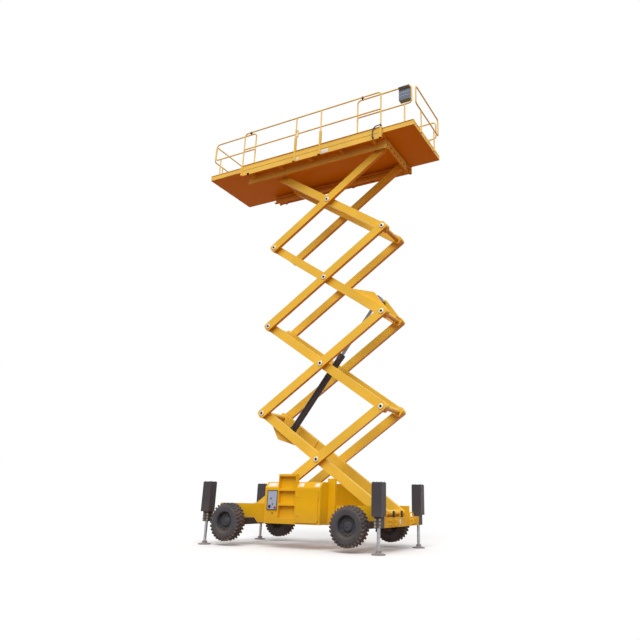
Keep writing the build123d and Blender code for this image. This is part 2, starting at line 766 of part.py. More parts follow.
def near_cover():
    sheet = cover_sheet(COVER_X0, COVER_X1, -HOUSE_Y1 - COVER_T, -HOUSE_Y1 - FIT)
    for z in hinge_spots(COVER_Z0, COVER_Z1):
        sheet = sheet + near_hinge(z - HINGE_LEN / 2, True)
    return sheet


def engine_cover():
    sheet = cover_sheet(ENGINE_X0, ENGINE_X1, HOUSE_Y1 + FIT, HOUSE_Y1 + COVER_T)
    for x in hinge_spots(ENGINE_X0, ENGINE_X1):
        sheet = sheet + far_hinge(x - HINGE_LEN / 2, True)
    return sheet


def engine_block():
    y0, z0 = RAIL_Y1 + ENGINE_SIDE, HOUSE_Z0 + HOUSE_WALL
    x0, x1 = HOUSE_X0 + ENGINE_FROM * (FAR_X1 - HOUSE_X0), HOUSE_X0 + ENGINE_TO * (FAR_X1 - HOUSE_X0)
    return block(x0, x1, y0, y0 + ENGINE_Y, z0, z0 + ENGINE_H)


def ground_panel():
    z0 = HOUSE_Z0 + PANEL_UP
    return block(PANEL_X0, PANEL_X1, -HOUSE_Y1 - PANEL_T, -HOUSE_Y1, z0, z0 + PANEL_H)


save("near_housing", [near_housing()])
save("far_housing", [far_housing()])
save("near_cover", [near_cover()])
save("engine_cover", [engine_cover()])
save("engine_block", [engine_block()])
save("ground_panel", [ground_panel()])


# Platform: floor on two roller channels, with folded skirts and box sockets for the rail posts
def skirt():
    y0, y1, fold = SKIRT_Y - SKIRT_LIP, SKIRT_Y, SKIRT_Y - SKIRT_FOLD
    low, high, t = SKIRT_LOW, SKIRT_H, SKIRT_T
    middle = (low + high) / 2
    section = outline([
        (y0, low), (fold, low), (fold, middle - SKIRT_FOLD), (y1, middle), (y1, high - t),
        (y1 + SKIRT_OUT, high - t), (y1 + SKIRT_OUT, high), (y0, high),
        (y0, high - t), (y1 - t, high - t), (y1 - t, middle), (fold - t, middle - SKIRT_FOLD),
        (fold - t, low + t), (y0, low + t),
    ])
    return Pos(0, 0, DECK_Z) * extrude(Plane.YZ.offset(DECK_X0) * section, amount=DECK_L)


def socket(x, top):
    y1 = SKIRT_Y + SOCKET_OUT
    return block(x - SOCKET_X / 2, x + SOCKET_X / 2, y1 - SOCKET_Y, y1, DECK_Z + SKIRT_LOW, DECK_Z + top)


def platform_frame():
    z = DECK_Z
    x0 = DECK_X0 + CHANNEL_IN
    under = z + FLOOR_TOP - FLOOR_T
    clear = ROLLER_R + ROLLER_GAP
    low = z - ROLLER_R - ROLLER_TOP
    lip_y = RAIL_Y + RAIL_LIP
    web = block(x0, DECK_X1, RAIL_Y1 - RAIL_WALL, RAIL_Y1, low, under)
    low_lip = block(x0, PIVOT_X - CHANNEL_CUT, lip_y, RAIL_Y1, z - clear - RAIL_WALL, z - clear)
    top_lip = block(x0, DECK_X1, lip_y, RAIL_Y1, z + clear, z + clear + RAIL_WALL)
    pin = across(PIN_R, PIVOT_X, z, OUTER_Y - PIN_SINK, RAIL_Y1 - PIN_SINK)
    gusset = block(PIVOT_X - GUSSET_X, DECK_X1, RAIL_Y, RAIL_Y + GUSSET_T, low, under)
    half = [skirt(), web, low_lip, top_lip, pin, gusset]
    pitch = (DECK_L - 2 * RIB_IN) / (RIBS - 1)
    for i in range(RIBS):
        x = DECK_X0 + RIB_IN + i * pitch
        half.append(block(
            x - RIB_X / 2, x + RIB_X / 2, RAIL_Y1 - PIN_SINK, SKIRT_Y - SKIRT_FOLD - SKIRT_T / 2,
            z + SKIRT_LOW, under + PIN_SINK,
        ))
    for x in (DECK_X0 + POST_IN, DECK_X1 - POST_IN):
        half.append(socket(x, SKIRT_H))
    for x in (GATE_X0, GATE_X1):
        half.append(socket(x, SOCKET_TOP))
    frame = fuse(both(fuse(half)))
    wide = SKIRT_Y - SKIRT_FOLD - SKIRT_T / 2
    floor = block(DECK_X0, DECK_X1, -wide, wide, under, z + FLOOR_TOP)
    end_y = RAIL_Y + PIN_SINK
    end = block(DECK_X1 - END_T, DECK_X1, -end_y, end_y, z - END_LOW, under + PIN_SINK)
    for i in range(END_HOLES):
        y = (i - (END_HOLES - 1) / 2) * END_PITCH
        end = end - along(END_HOLE_R, DECK_X1 - 2 * END_T, DECK_X1 + END_T, y, z + END_HOLE_UP)
    return fuse([frame, floor, end])


save("platform_frame", [platform_frame()])


# Guard rails of round tube: straight runs joined by round bends
def tube(points, bend, radius):
    corners = [Vector(*point) for point in points]
    pieces = []
    start = corners[0]
    for here, after in zip(corners[1:-1], corners[2:]):
        into = (here - start).normalized()
        out = (after - here).normalized()
        pieces.append(rod_between(start, here - into * bend, radius))
        centre = here - into * bend + out * bend
        ring = Plane(origin=here - into * bend, z_dir=into) * Circle(radius)
        pieces.append(revolve(ring, Axis(tuple(centre), tuple(into.cross(out))), revolution_arc=90))
        start = here + out * bend
    pieces.append(rod_between(start, corners[-1], radius))
    return fuse(pieces)


def rod_between(start, end, radius):
    run = end - start
    return extrude(Plane(origin=start, z_dir=run.normalized()) * Circle(radius), amount=run.length)


# One side of the main rails: a long hoop with posts, its knee rail left open between knee_gap's ends
def main_rail(y, knee_gap):
    x0, x1 = DECK_X0 + POST_IN, DECK_X1 - POST_IN
    base, knee, high = DECK_Z + SKIRT_H, DECK_Z + MID_RAIL, DECK_Z + TOP_RAIL
    pieces = [tube([(x0, y, base), (x0, y, high), (x1, y, high), (x1, y, base)], RAIL_BEND, RAIL_R)]
    for x in (GATE_X0, GATE_X1):
        pieces.append(upright(RAIL_R, x, y, DECK_Z + SOCKET_TOP, high))
    pieces.append(along(RAIL_R, x0, knee_gap[0], y, knee))
    pieces.append(along(RAIL_R, knee_gap[1], x1, y, knee))
    return fuse(pieces)


# Access gate: a swinging knee bar on two sleeves that turn on the rail post
def gate():
    x0, x1 = GATE_X0 + GATE_OUT, GATE_X1 - RAIL_R - GATE_CLEAR
    y, z = -POST_Y, DECK_Z + MID_RAIL
    pieces = [upright(GATE_R, x0, y, z - GATE_DROP, z + GATE_DROP), along(RAIL_R, x0, x1, y, z)]
    for level in (z - GATE_DROP, z + GATE_DROP):
        low, high = level - GATE_SLEEVE, level + GATE_SLEEVE
        sleeve = upright(GATE_SLEEVE_R, GATE_X0, y, low, high) + along(GATE_R, GATE_X0, x0, y, level)
        pieces.append(sleeve - upright(RAIL_R + FIT, GATE_X0, y, low, high))
    return fuse(pieces)


GATE_MIDDLE = (GATE_X0 + GATE_X1) / 2
save("main_rails", [main_rail(POST_Y, (GATE_MIDDLE, GATE_MIDDLE)), main_rail(-POST_Y, (GATE_X0, GATE_X1))])
save("access_gate", [gate()])


# Roll-out decks: a floor with toe boards on runners, the right one's end board slotted
def ext_deck(x_end, x_in, slots):
    out = math.copysign(1, x_end)
    x0, x1 = sorted((x_end, x_in))
    z = DECK_Z + EXT_UP
    top = DECK_Z + SKIRT_H - TOE_DROP
    floor = block(x0, x1, -EXT_Y, EXT_Y, z, z + EXT_T)
    toe = block(x0, x1, EXT_Y - TOE_T, EXT_Y, z, top)
    toe = toe + block(x0, x1, EXT_Y - TOE_T, EXT_Y + TOE_LIP, top - TOE_LIP_T, top)
    e0, e1 = sorted((x_end, x_end - out * TOE_T))
    end_toe = block(e0, e1, -EXT_Y, EXT_Y, z, top)
    pitch = 2 * EXT_Y / (slots + 1)
    for i in range(slots):
        y = pitch * (i + 1) - EXT_Y
        low = (z + EXT_T + top - TOE_SLOT_Z) / 2
        end_toe = end_toe - block(e0, e1, y - TOE_SLOT_Y / 2, y + TOE_SLOT_Y / 2, low, low + TOE_SLOT_Z)
    lap = DECK_X0 if out < 0 else DECK_X1
    r0, r1 = sorted((x_in, lap - out * RUNNER_END))
    runner = block(
        r0, r1, RUNNER_Y - RUNNER_W / 2, RUNNER_Y + RUNNER_W / 2, DECK_Z + FLOOR_TOP + FIT, z + EXT_T / 2
    )
    return fuse([floor, end_toe] + both(toe) + both(runner))


# Deck rails: a loop along each side from the inner post, a loop across the end, and short posts
def ext_rails(x_end, x_in):
    out = math.copysign(1, x_end)
    xi, xe, xh = x_in + out * EXT_POST_BACK, x_end - out * EXT_POST_END, x_end + out * END_HOOP_OUT
    low = DECK_Z + EXT_UP + EXT_T
    knee, high = DECK_Z + MID_RAIL, DECK_Z + TOP_RAIL
    y, ye = EXT_POST_Y, END_HOOP_Y
    side = tube([(xi, y, low), (xi, y, high), (xe, y, high), (xe, y, knee), (xi, y, knee)], RAIL_BEND, RAIL_R)
    side = side + upright(RAIL_R, x_end - out * SHORT_POST, y, low, knee)
    end = tube(
        [(xh, 0, high), (xh, ye, high), (xh, ye, knee), (xh, -ye, knee), (xh, -ye, high), (xh, 0, high)],
        END_BEND, RAIL_R,
    )
    for side_y in (-END_POST_Y, END_POST_Y):
        end = end + upright(END_POST_R, xh, side_y, low, knee)
        p0, p1 = sorted((x_end, xh))
        y0, y1 = side_y - END_PAD_Y / 2, side_y + END_PAD_Y / 2
        end = end + block(p0, p1, y0, y1, low, DECK_Z + SKIRT_H - TOE_DROP)
    return both(side) + [end]


save("left_deck", [ext_deck(EXT_L_END, DECK_X0 + EXT_L_LAP, 0)])
save("left_rails", ext_rails(EXT_L_END, DECK_X0 + EXT_L_LAP))
save("right_deck", [ext_deck(EXT_R_END, DECK_X1 - EXT_R_LAP, TOE_SLOTS)])
save("right_rails", ext_rails(EXT_R_END, DECK_X1 - EXT_R_LAP))


# Control box, hung on the top rail by a hook plate
def platform_controls():
    face = -EXT_POST_Y + RAIL_R + FIT
    z1 = DECK_Z + TOP_RAIL + RAIL_R + FIT
    x0, x1 = BOX_X0 + HOOK_IN, BOX_X1 - HOOK_IN
    case = block(BOX_X0, BOX_X1, face, face + BOX_T, DECK_Z + BOX_Z0, DECK_Z + BOX_Z1)
    hook = block(x0, x1, -EXT_POST_Y - RAIL_R, face + HOOK_Y, z1, z1 + HOOK_T)
    return case + hook


save("platform_controls", [platform_controls()])
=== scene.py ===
import bpy
import bmesh
import json
import math
from mathutils import Matrix, Vector


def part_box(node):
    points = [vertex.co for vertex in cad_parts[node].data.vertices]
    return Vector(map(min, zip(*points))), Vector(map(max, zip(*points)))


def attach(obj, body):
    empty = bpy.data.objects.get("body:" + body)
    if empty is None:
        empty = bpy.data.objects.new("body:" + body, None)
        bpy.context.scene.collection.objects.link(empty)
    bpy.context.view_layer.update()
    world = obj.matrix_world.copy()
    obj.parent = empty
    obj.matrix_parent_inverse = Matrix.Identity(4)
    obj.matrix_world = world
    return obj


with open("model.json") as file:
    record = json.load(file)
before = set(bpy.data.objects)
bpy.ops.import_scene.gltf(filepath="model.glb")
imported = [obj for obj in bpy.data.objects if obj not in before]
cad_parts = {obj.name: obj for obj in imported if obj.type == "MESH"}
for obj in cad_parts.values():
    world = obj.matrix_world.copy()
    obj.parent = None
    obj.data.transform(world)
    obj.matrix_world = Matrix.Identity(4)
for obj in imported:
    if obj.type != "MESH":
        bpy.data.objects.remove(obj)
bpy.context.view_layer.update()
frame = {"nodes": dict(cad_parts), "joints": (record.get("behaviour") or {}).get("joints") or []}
nodes = frame["nodes"]
joints = {joint["name"]: joint for joint in frame["joints"]}

# Studio: a seamless pale floor that fades into a white surround, a broad soft light high behind the
# camera and an even sky, so that each paint shows about the colour it was mixed to.
LIGHT_FROM = (0.42, -0.90, 1.10)
LIGHT_SPREAD = math.radians(45)
LIGHT_STRENGTH = 2.25
SKY_STRENGTH = 0.72
FLOOR_SIZE = 160.0
FLOOR_SHOWN = (0.88, 0.88, 0.88, 1)
FLOOR_BOUNCE = (0.29, 0.14, 0.08, 1)
FADE_START = 4.0
FADE_END = 10.0


def node(tree, kind, **values):
    made = tree.nodes.new("ShaderNode" + kind)
    for key, value in values.items():
        socket = made.inputs[key.replace("_", " ")]
        if isinstance(value, bpy.types.NodeSocket):
            tree.links.new(value, socket)
        else:
            socket.default_value = value
    return made


def maths(tree, operation, *values):
    made = tree.nodes.new("ShaderNodeMath")
    made.operation = operation
    for socket, value in zip(made.inputs, values):
        if isinstance(value, bpy.types.NodeSocket):
            tree.links.new(value, socket)
        else:
            socket.default_value = value
    return made.outputs[0]


def mixed(tree, share, first, second):
    made = tree.nodes.new("ShaderNodeMixShader")
    for socket, value in zip(made.inputs, (share, first, second)):
        tree.links.new(value, socket)
    return made.outputs[0]


def seen_directly(tree):
    path = tree.nodes.new("ShaderNodeLightPath")
    mirrored = maths(tree, "MAXIMUM", path.outputs["Is Glossy Ray"], path.outputs["Is Transmission Ray"])
    return maths(tree, "MAXIMUM", path.outputs["Is Camera Ray"], mirrored)


def build_surround():
    world = bpy.data.worlds.new("surround")
    world.use_nodes = True
    bpy.context.scene.world = world
    tree = world.node_tree
    tree.nodes.clear()
    sky = node(tree, "Background", Color=(1, 1, 1, 1), Strength=SKY_STRENGTH).outputs[0]
    white = node(tree, "Background", Color=(1, 1, 1, 1), Strength=1.0).outputs[0]
    node(tree, "OutputWorld", Surface=mixed(tree, seen_directly(tree), sky, white))


def build_floor():
    mesh = bpy.data.meshes.new("studio_floor")
    half = FLOOR_SIZE / 2
    corners = [(-half, -half, 0), (half, -half, 0), (half, half, 0), (-half, half, 0)]
    mesh.from_pydata(corners, [], [(0, 1, 2, 3)])
    floor = bpy.data.objects.new("studio_floor", mesh)
    bpy.context.scene.collection.objects.link(floor)
    material = bpy.data.materials.new("pale_floor")
    material.use_nodes = True
    tree = material.node_tree
    tree.nodes.clear()
    place = tree.nodes.new("ShaderNodeTexCoord").outputs["Object"]
    away = node(tree, "VectorMath", Vector=place)
    away.operation = "LENGTH"
    fade = node(tree, "MapRange", Value=away.outputs["Value"], From_Min=FADE_START, From_Max=FADE_END)
    fade.interpolation_type = "SMOOTHSTEP"
    shown = node(tree, "BsdfDiffuse", Color=FLOOR_SHOWN).outputs[0]
    white = node(tree, "Emission", Color=(1, 1, 1, 1), Strength=1.0).outputs[0]
    bounce = node(tree, "BsdfDiffuse", Color=FLOOR_BOUNCE).outputs[0]
    far = mixed(tree, fade.outputs[0], shown, white)
    node(tree, "OutputMaterial", Surface=mixed(tree, seen_directly(tree), bounce, far))
    mesh.materials.append(material)


def build_light():
    lamp = bpy.data.lights.new("soft_light", "SUN")
    lamp.energy = LIGHT_STRENGTH
    lamp.angle = LIGHT_SPREAD
    light = bpy.data.objects.new("soft_light", lamp)
    light.rotation_euler = Vector(LIGHT_FROM).to_track_quat("Z", "Y").to_euler()
    bpy.context.scene.collection.objects.link(light)


bpy.context.scene.view_settings.view_transform = "Standard"
build_surround()
build_floor()
build_light()

# Camera: a person standing about fourteen metres off the near front corner, looking up at the platform.
# The place, turn and lens were fitted to spots on the photographed machine.
CAMERA_PLACE = (7.476, -11.809, 1.029)
CAMERA_TURN = math.radians(27.23)
CAMERA_TILT = math.radians(19.88)
CAMERA_ROLL = math.radians(0.89)
FOCAL_PIXELS = 582.0
OPTICAL_CENTRE = (364.65, 286.21)
PHOTO_PIXELS = 640


def build_camera():
    data = bpy.data.cameras.new("photo_camera")
    data.sensor_width = 36.0
    data.lens = FOCAL_PIXELS / PHOTO_PIXELS * data.sensor_width
    data.shift_x = 0.5 - OPTICAL_CENTRE[0] / PHOTO_PIXELS
    data.shift_y = OPTICAL_CENTRE[1] / PHOTO_PIXELS - 0.5
    data.clip_end = 300
    camera = bpy.data.objects.new("photo_camera", data)
    ahead = Vector((
        -math.sin(CAMERA_TURN) * math.cos(CAMERA_TILT),
        math.cos(CAMERA_TURN) * math.cos(CAMERA_TILT),
        math.sin(CAMERA_TILT),
    ))
    level = ahead.cross(Vector((0, 0, 1))).normalized()
    above = level.cross(ahead)
    right = level * math.cos(CAMERA_ROLL) + above * math.sin(CAMERA_ROLL)
    up = above * math.cos(CAMERA_ROLL) - level * math.sin(CAMERA_ROLL)
    turn = Matrix((right, up, -ahead)).transposed().to_4x4()
    camera.matrix_world = Matrix.Translation(CAMERA_PLACE) @ turn
    bpy.context.scene.collection.objects.link(camera)
    bpy.context.scene.camera = camera


build_camera()

# Chassis: a ladder frame of folded and welded steel plate with a heavy beam bolted across each end, in
# one coat of machine yellow, dusty on the flats and rubbed at the edges. A bent-bar lifting eye and two
# black rubber buffers stand on the front beam.
CHASSIS_YELLOW = (0.89, 0.68, 0.06)
RUBBED_YELLOW = (0.95, 0.80, 0.35)
ROAD_DUST = (0.50, 0.43, 0.34)
DUST_LINE = 0.85
PAINT_SHEEN = 0.16
BOLT_FLATS = 0.030
BEAM_THICK = 0.12
EYE_REACH = 0.103
LIFT_EYE_Y = (0.53, 0.70)
LIFT_EYE_H = 0.085
LIFT_EYE_R = 0.015
LIFT_EYE_BEND = 0.05
WELD_IN = 0.01
BUFFER_Y = (-0.30, 0.10)
RAIL_HALF_W = 0.045
BEAM_BOLT_OFF = 0.06
BEAM_BOLT_EDGE = 0.05


def linear(rgb):
    return [c / 12.92 if c <= 0.04045 else ((c + 0.055) / 1.055) ** 2.4 for c in rgb] + [1]


def blank_material(name):
    material = bpy.data.materials.new(name)
    material.use_nodes = True
    tree = material.node_tree
    spot = tree.nodes.new("ShaderNodeTexCoord")
    return material, tree, tree.nodes["Principled BSDF"], spot


def ramp(tree, share, low, dark, high, light):
    made = node(tree, "ValToRGB", Fac=share)
    for element, position, colour in zip(made.color_ramp.elements, (low, high), (dark, light)):
        element.position = position
        element.color = colour
    return made.outputs["Color"]


def noise(tree, place, scale, detail=2.0):
    return node(tree, "TexNoise", Vector=place, Scale=scale, Detail=detail).outputs["Fac"]


def ranged(tree, value, low, high, to_low, to_high):
    made = node(tree, "MapRange", Value=value, From_Min=low, From_Max=high, To_Min=to_low, To_Max=to_high)
    return made.outputs["Result"]


def edges(tree, radius):
    rounded = node(tree, "Bevel", Radius=radius)
    true = tree.nodes.new("ShaderNodeNewGeometry")
    match = node(tree, "VectorMath", Vector=rounded.outputs["Normal"])
    match.operation = "DOT_PRODUCT"
    tree.links.new(true.outputs["Normal"], match.inputs[1])
    return ranged(tree, match.outputs["Value"], 0.99, 0.80, 0.0, 1.0)


def shaded(colour, share):
    return [min(1.0, c * share) for c in colour[:3]] + [1]


def surface_bump(tree, shader, height, strength, distance):
    bump = node(tree, "Bump", Height=height, Strength=strength, Distance=distance)
    tree.links.new(bump.outputs["Normal"], shader.inputs["Normal"])


def sprayed_paint(name, colour, rubbed, roughness, dust_line=0.0, flats=0.25, underside_shade_colour=None):
    material, tree, shader, spot = blank_material(name)
    place = spot.outputs["Object"]
    base = linear(colour)
    coat = ramp(tree, noise(tree, place, 1.4, 6.0), 0.3, shaded(base, 0.88), 0.7, shaded(base, 1.05))
    up = node(tree, "SeparateXYZ", Vector=spot.outputs["Normal"]).outputs["Z"]
    # Faces turned down take a deeper colour: painted shade under the part.
    if underside_shade_colour:
        below = ranged(tree, up, -0.3, -0.8, 0.0, 1.0)
        coat = node(tree, "MixRGB", Fac=below, Color1=coat, Color2=linear(underside_shade_colour)).outputs[0]
    grains = noise(tree, place, 5.0, 8.0)
    film = maths(tree, "MULTIPLY", ranged(tree, up, 0.6, 1.0, 0.0, flats), grains)
    if dust_line:
        height = node(tree, "SeparateXYZ", Vector=place).outputs["Z"]
        splash = maths(tree, "MULTIPLY", ranged(tree, height, dust_line, 0.3, 0.0, 0.55), grains)
        film = maths(tree, "MAXIMUM", film, splash)
    dusty = node(tree, "MixRGB", Fac=film, Color1=coat, Color2=linear(ROAD_DUST)).outputs[0]
    chips = ranged(tree, noise(tree, place, 14.0, 4.0), 0.42, 0.62, 0.0, 0.8)
    worn = maths(tree, "MULTIPLY", edges(tree, 0.006), chips)
    tint = node(tree, "MixRGB", Fac=worn, Color1=dusty, Color2=linear(rubbed)).outputs[0]
    tree.links.new(tint, shader.inputs["Base Color"])
    gloss = ranged(tree, noise(tree, place, 7.0, 5.0), 0.3, 0.7, roughness - 0.06, roughness + 0.08)
    tree.links.new(maths(tree, "ADD", gloss, film), shader.inputs["Roughness"])
    shader.inputs["Specular IOR Level"].default_value = PAINT_SHEEN
    peel = maths(tree, "MULTIPLY", noise(tree, place, 120.0), 0.35)
    waves = maths(tree, "MULTIPLY", noise(tree, place, 3.0), 6.0)
    surface_bump(tree, shader, maths(tree, "ADD", peel, waves), 0.10, 0.001)
    return material


def plated_steel(name, colour, roughness):
    material, tree, shader, spot = blank_material(name)
    place = spot.outputs["Object"]
    base = linear(colour)
    tint = ramp(tree, noise(tree, place, 30.0, 5.0), 0.3, shaded(base, 0.7), 0.7, shaded(base, 1.05))
    tree.links.new(tint, shader.inputs["Base Color"])
    shader.inputs["Metallic"].default_value = 1.0
    gloss = ranged(tree, noise(tree, place, 60.0, 4.0), 0.3, 0.7, roughness - 0.08, roughness + 0.12)
    tree.links.new(gloss, shader.inputs["Roughness"])
    surface_bump(tree, shader, noise(tree, place, 400.0), 0.08, 0.0005)
    return material


def moulded_plastic(name, colour, roughness):
    material, tree, shader, spot = blank_material(name)
    place = spot.outputs["Object"]
    base = linear(colour)
    tint = ramp(tree, noise(tree, place, 12.0, 5.0), 0.3, shaded(base, 0.9), 0.7, shaded(base, 1.06))
    worn = maths(tree, "MULTIPLY", edges(tree, 0.002), 0.5)
    scuffed = node(tree, "MixRGB", Fac=worn, Color1=tint, Color2=shaded(base, 1.8)).outputs[0]
    tree.links.new(scuffed, shader.inputs["Base Color"])
    gloss = ranged(tree, noise(tree, place, 40.0, 4.0), 0.3, 0.7, roughness - 0.08, roughness + 0.08)
    tree.links.new(gloss, shader.inputs["Roughness"])
    surface_bump(tree, shader, noise(tree, place, 300.0), 0.06, 0.0003)
    return material


def dress(material, *names):
    for name in names:
        mesh = nodes[name].data
        mesh.materials.clear()
        mesh.materials.append(material)


def facing(place, out, up=(0, 0, 1)):
    z = Vector(out).normalized()
    x = Vector(up).cross(z)
    if x.length < 1e-6:
        x = Vector((1, 0, 0))
    x.normalize()
    turn = Matrix((x, z.cross(x), z)).transposed().to_4x4()
    return Matrix.Translation(place) @ turn


def band(shape, place, profile, steps):
    turns = [2 * math.pi * i / steps for i in range(steps)]
    rings = []
    for radius, height in profile:
        points = [Vector((radius * math.cos(turn), radius * math.sin(turn), height)) for turn in turns]
        rings.append([shape.verts.new(place @ point) for point in points])
    for low, high in zip(rings, rings[1:]):
        for i in range(steps):
            j = (i + 1) % steps
            shape.faces.new((low[i], low[j], high[j], high[i]))
    return rings


def lathe(shape, place, profile, steps=24):
    rings = band(shape, place, profile, steps)
    shape.faces.new(rings[-1])
    shape.faces.new(rings[0][::-1])


def plate(shape, place, size, edge=0.003):
    seat = place @ Matrix.Translation((0, 0, size[2] / 2)) @ Matrix.Diagonal((*size, 1))
    made = bmesh.ops.create_cube(shape, size=1.0, matrix=seat)
    rims = list({rim for corner in made["verts"] for rim in corner.link_edges})
    bmesh.ops.bevel(shape, geom=rims, offset=edge, segments=2, profile=0.5, affect="EDGES")


def hex_bolt(shape, place, flats):
    washer = 0.14 * flats
    corner = flats / math.sqrt(3)
    lathe(shape, place, [(0.95 * flats, 0), (0.95 * flats, 0.7 * washer), (0.85 * flats, washer)], 20)
    head = [(corner, washer), (corner, 0.70 * flats), (0.86 * corner, 0.78 * flats)]
    lathe(shape, place, head, 6)


def piece(name, shape, material, body):
    mesh = bpy.data.meshes.new(name)
    shape.to_mesh(mesh)
    shape.free()
    mesh.polygons.foreach_set("use_smooth", [True] * len(mesh.polygons))
    mesh.set_sharp_from_angle(angle=math.radians(35))
    mesh.materials.append(material)
    obj = bpy.data.objects.new(name, mesh)
    bpy.context.scene.collection.objects.link(obj)
    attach(obj, body)
    return obj


def bent_route(points, bend, bits=6):
    corners = [Vector(point) for point in points]
    route = [corners[0]]
    for before, here, after in zip(corners, corners[1:], corners[2:]):
        into, out = (here - before).normalized(), (after - here).normalized()
        turn = into.angle(out)
        start = here - into * bend * math.tan(turn / 2)
        centre = start + (out - into * into.dot(out)).normalized() * bend
        for i in range(bits + 1):
            route.append(centre + Matrix.Rotation(turn * i / bits, 3, into.cross(out)) @ (start - centre))
    return route + [corners[-1]]


def pipe(shape, points, radius, bend, steps=12):
    route = bent_route(points, bend)
    side = None
    rings = []
    for i, here in enumerate(route):
        ahead = (route[min(i + 1, len(route) - 1)] - route[max(i - 1, 0)]).normalized()
        if side is None:
            side = ahead.orthogonal().normalized()
        side = (side - ahead * side.dot(ahead)).normalized()
        other = ahead.cross(side)
        ring = []
        for k in range(steps):
            turn = 2 * math.pi * k / steps
            ring.append(shape.verts.new(here + (side * math.cos(turn) + other * math.sin(turn)) * radius))
        rings.append(ring)
    for low, high in zip(rings, rings[1:]):
        for k in range(steps):
            j = (k + 1) % steps
            shape.faces.new((low[k], low[j], high[j], high[k]))
    shape.faces.new(rings[-1])
    shape.faces.new(rings[0][::-1])


chassis_paint = sprayed_paint("machine_yellow", CHASSIS_YELLOW, RUBBED_YELLOW, 0.36, DUST_LINE)
black_rubber = moulded_plastic("black_rubber", (0.11, 0.105, 0.105), 0.6)
bolt_steel = plated_steel("zinc_plate", (0.62, 0.60, 0.55), 0.38)
dress(chassis_paint, "chassis_frame", "end_beams")


def build_beam_bolts():
    shape = bmesh.new()
    low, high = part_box("end_beams")
    rail_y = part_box("chassis_frame")[1][1] - RAIL_HALF_W
    for x, out in ((low[0], -1), (high[0], 1)):
        face = x - out * EYE_REACH
        for side in (-1, 1):
            for across in (-BEAM_BOLT_OFF, BEAM_BOLT_OFF):
                for z in (low[2] + BEAM_BOLT_EDGE, high[2] - BEAM_BOLT_EDGE):
                    hex_bolt(shape, facing((face, side * (rail_y + across), z), (out, 0, 0)), BOLT_FLATS)
    piece("beam_bolts", shape, chassis_paint, "chassis")


def build_front_beam():
    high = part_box("end_beams")[1]
    x, top = high[0] - EYE_REACH - BEAM_THICK / 2, high[2]
    eye = bmesh.new()
    y0, y1 = LIFT_EYE_Y
    weld, crown = top - WELD_IN, top + LIFT_EYE_H
    pipe(eye, [(x, y0, weld), (x, y0, crown), (x, y1, crown), (x, y1, weld)], LIFT_EYE_R, LIFT_EYE_BEND)
    piece("lifting_eye", eye, chassis_paint, "chassis")
    buffers = bmesh.new()
    moulded = [(0.032, 0), (0.032, 0.014), (0.022, 0.022), (0.026, 0.105), (0.018, 0.125)]
    for y in BUFFER_Y:
        lathe(buffers, facing((x, y, top), (0, 0, 1)), moulded, 20)
    piece("beam_buffers", buffers, black_rubber, "chassis")


build_beam_bolts()
build_front_beam()

# Axles and steering knuckles: cast and welded steel under a charcoal coat, bolted up under the rails.
# Each kingpin is shut in by a round cap held with four small bolts.
CHARCOAL = (0.27, 0.265, 0.28)
RUBBED_CHARCOAL = (0.46, 0.45, 0.45)
CAP_R = 0.046
CAP_T = 0.012
CAP_SCREW_FLATS = 0.012
KINGPIN_REACH = 0.15

charcoal_paint = sprayed_paint("charcoal_paint", CHARCOAL, RUBBED_CHARCOAL, 0.42, 0.75, 0.35)
dress(charcoal_paint, "axles", "knuckle_near", "knuckle_far")


def ring_of_bolts(shape, place, radius, count, flats):
    for i in range(count):
        turn = Matrix.Rotation(2 * math.pi * i / count, 4, "Z")
        hex_bolt(shape, place @ turn @ Matrix.Translation((radius, 0, 0)), flats)


def build_kingpin_caps():
    shape = bmesh.new()
    for side in ("near", "far"):
        middle = Vector(joints[f"steer_{side}"]["pos_m"])
        for up in (-1, 1):
            place = facing(middle + Vector((0, 0, up * KINGPIN_REACH)), (0, 0, up))
            lathe(shape, place, [(CAP_R, 0), (CAP_R, 0.7 * CAP_T), (0.8 * CAP_R, CAP_T)])
            ring_of_bolts(shape, place @ Matrix.Translation((0, 0, CAP_T)), 0.6 * CAP_R, 4, CAP_SCREW_FLATS)
    piece("kingpin_caps", shape, charcoal_paint, "chassis")


build_kingpin_caps()

# Tyres: black off-road rubber, moulded with slanted lugs and greyed by dry earth in the tread. A second
# row of lugs stands between the main ones, and two moulded ribs run round each sidewall.
RUBBER = (0.275, 0.27, 0.285)
DRY_EARTH = (0.44, 0.385, 0.345)
SCUFFED_LUG = (0.56, 0.50, 0.45)
BEAD_R = 0.246
SIDEWALL_R = 0.318
SIDEWALL_PROUD = 0.0045
LUGS = 15
LUG_LENGTH = 0.138
LUG_THICK = 0.036
LUG_SLANT = math.radians(28)
LUG_OFF = 0.060
LUG_ROOT = 0.300
WHEELS = [f"{end}_{side}" for end in ("front", "rear") for side in ("near", "far")]


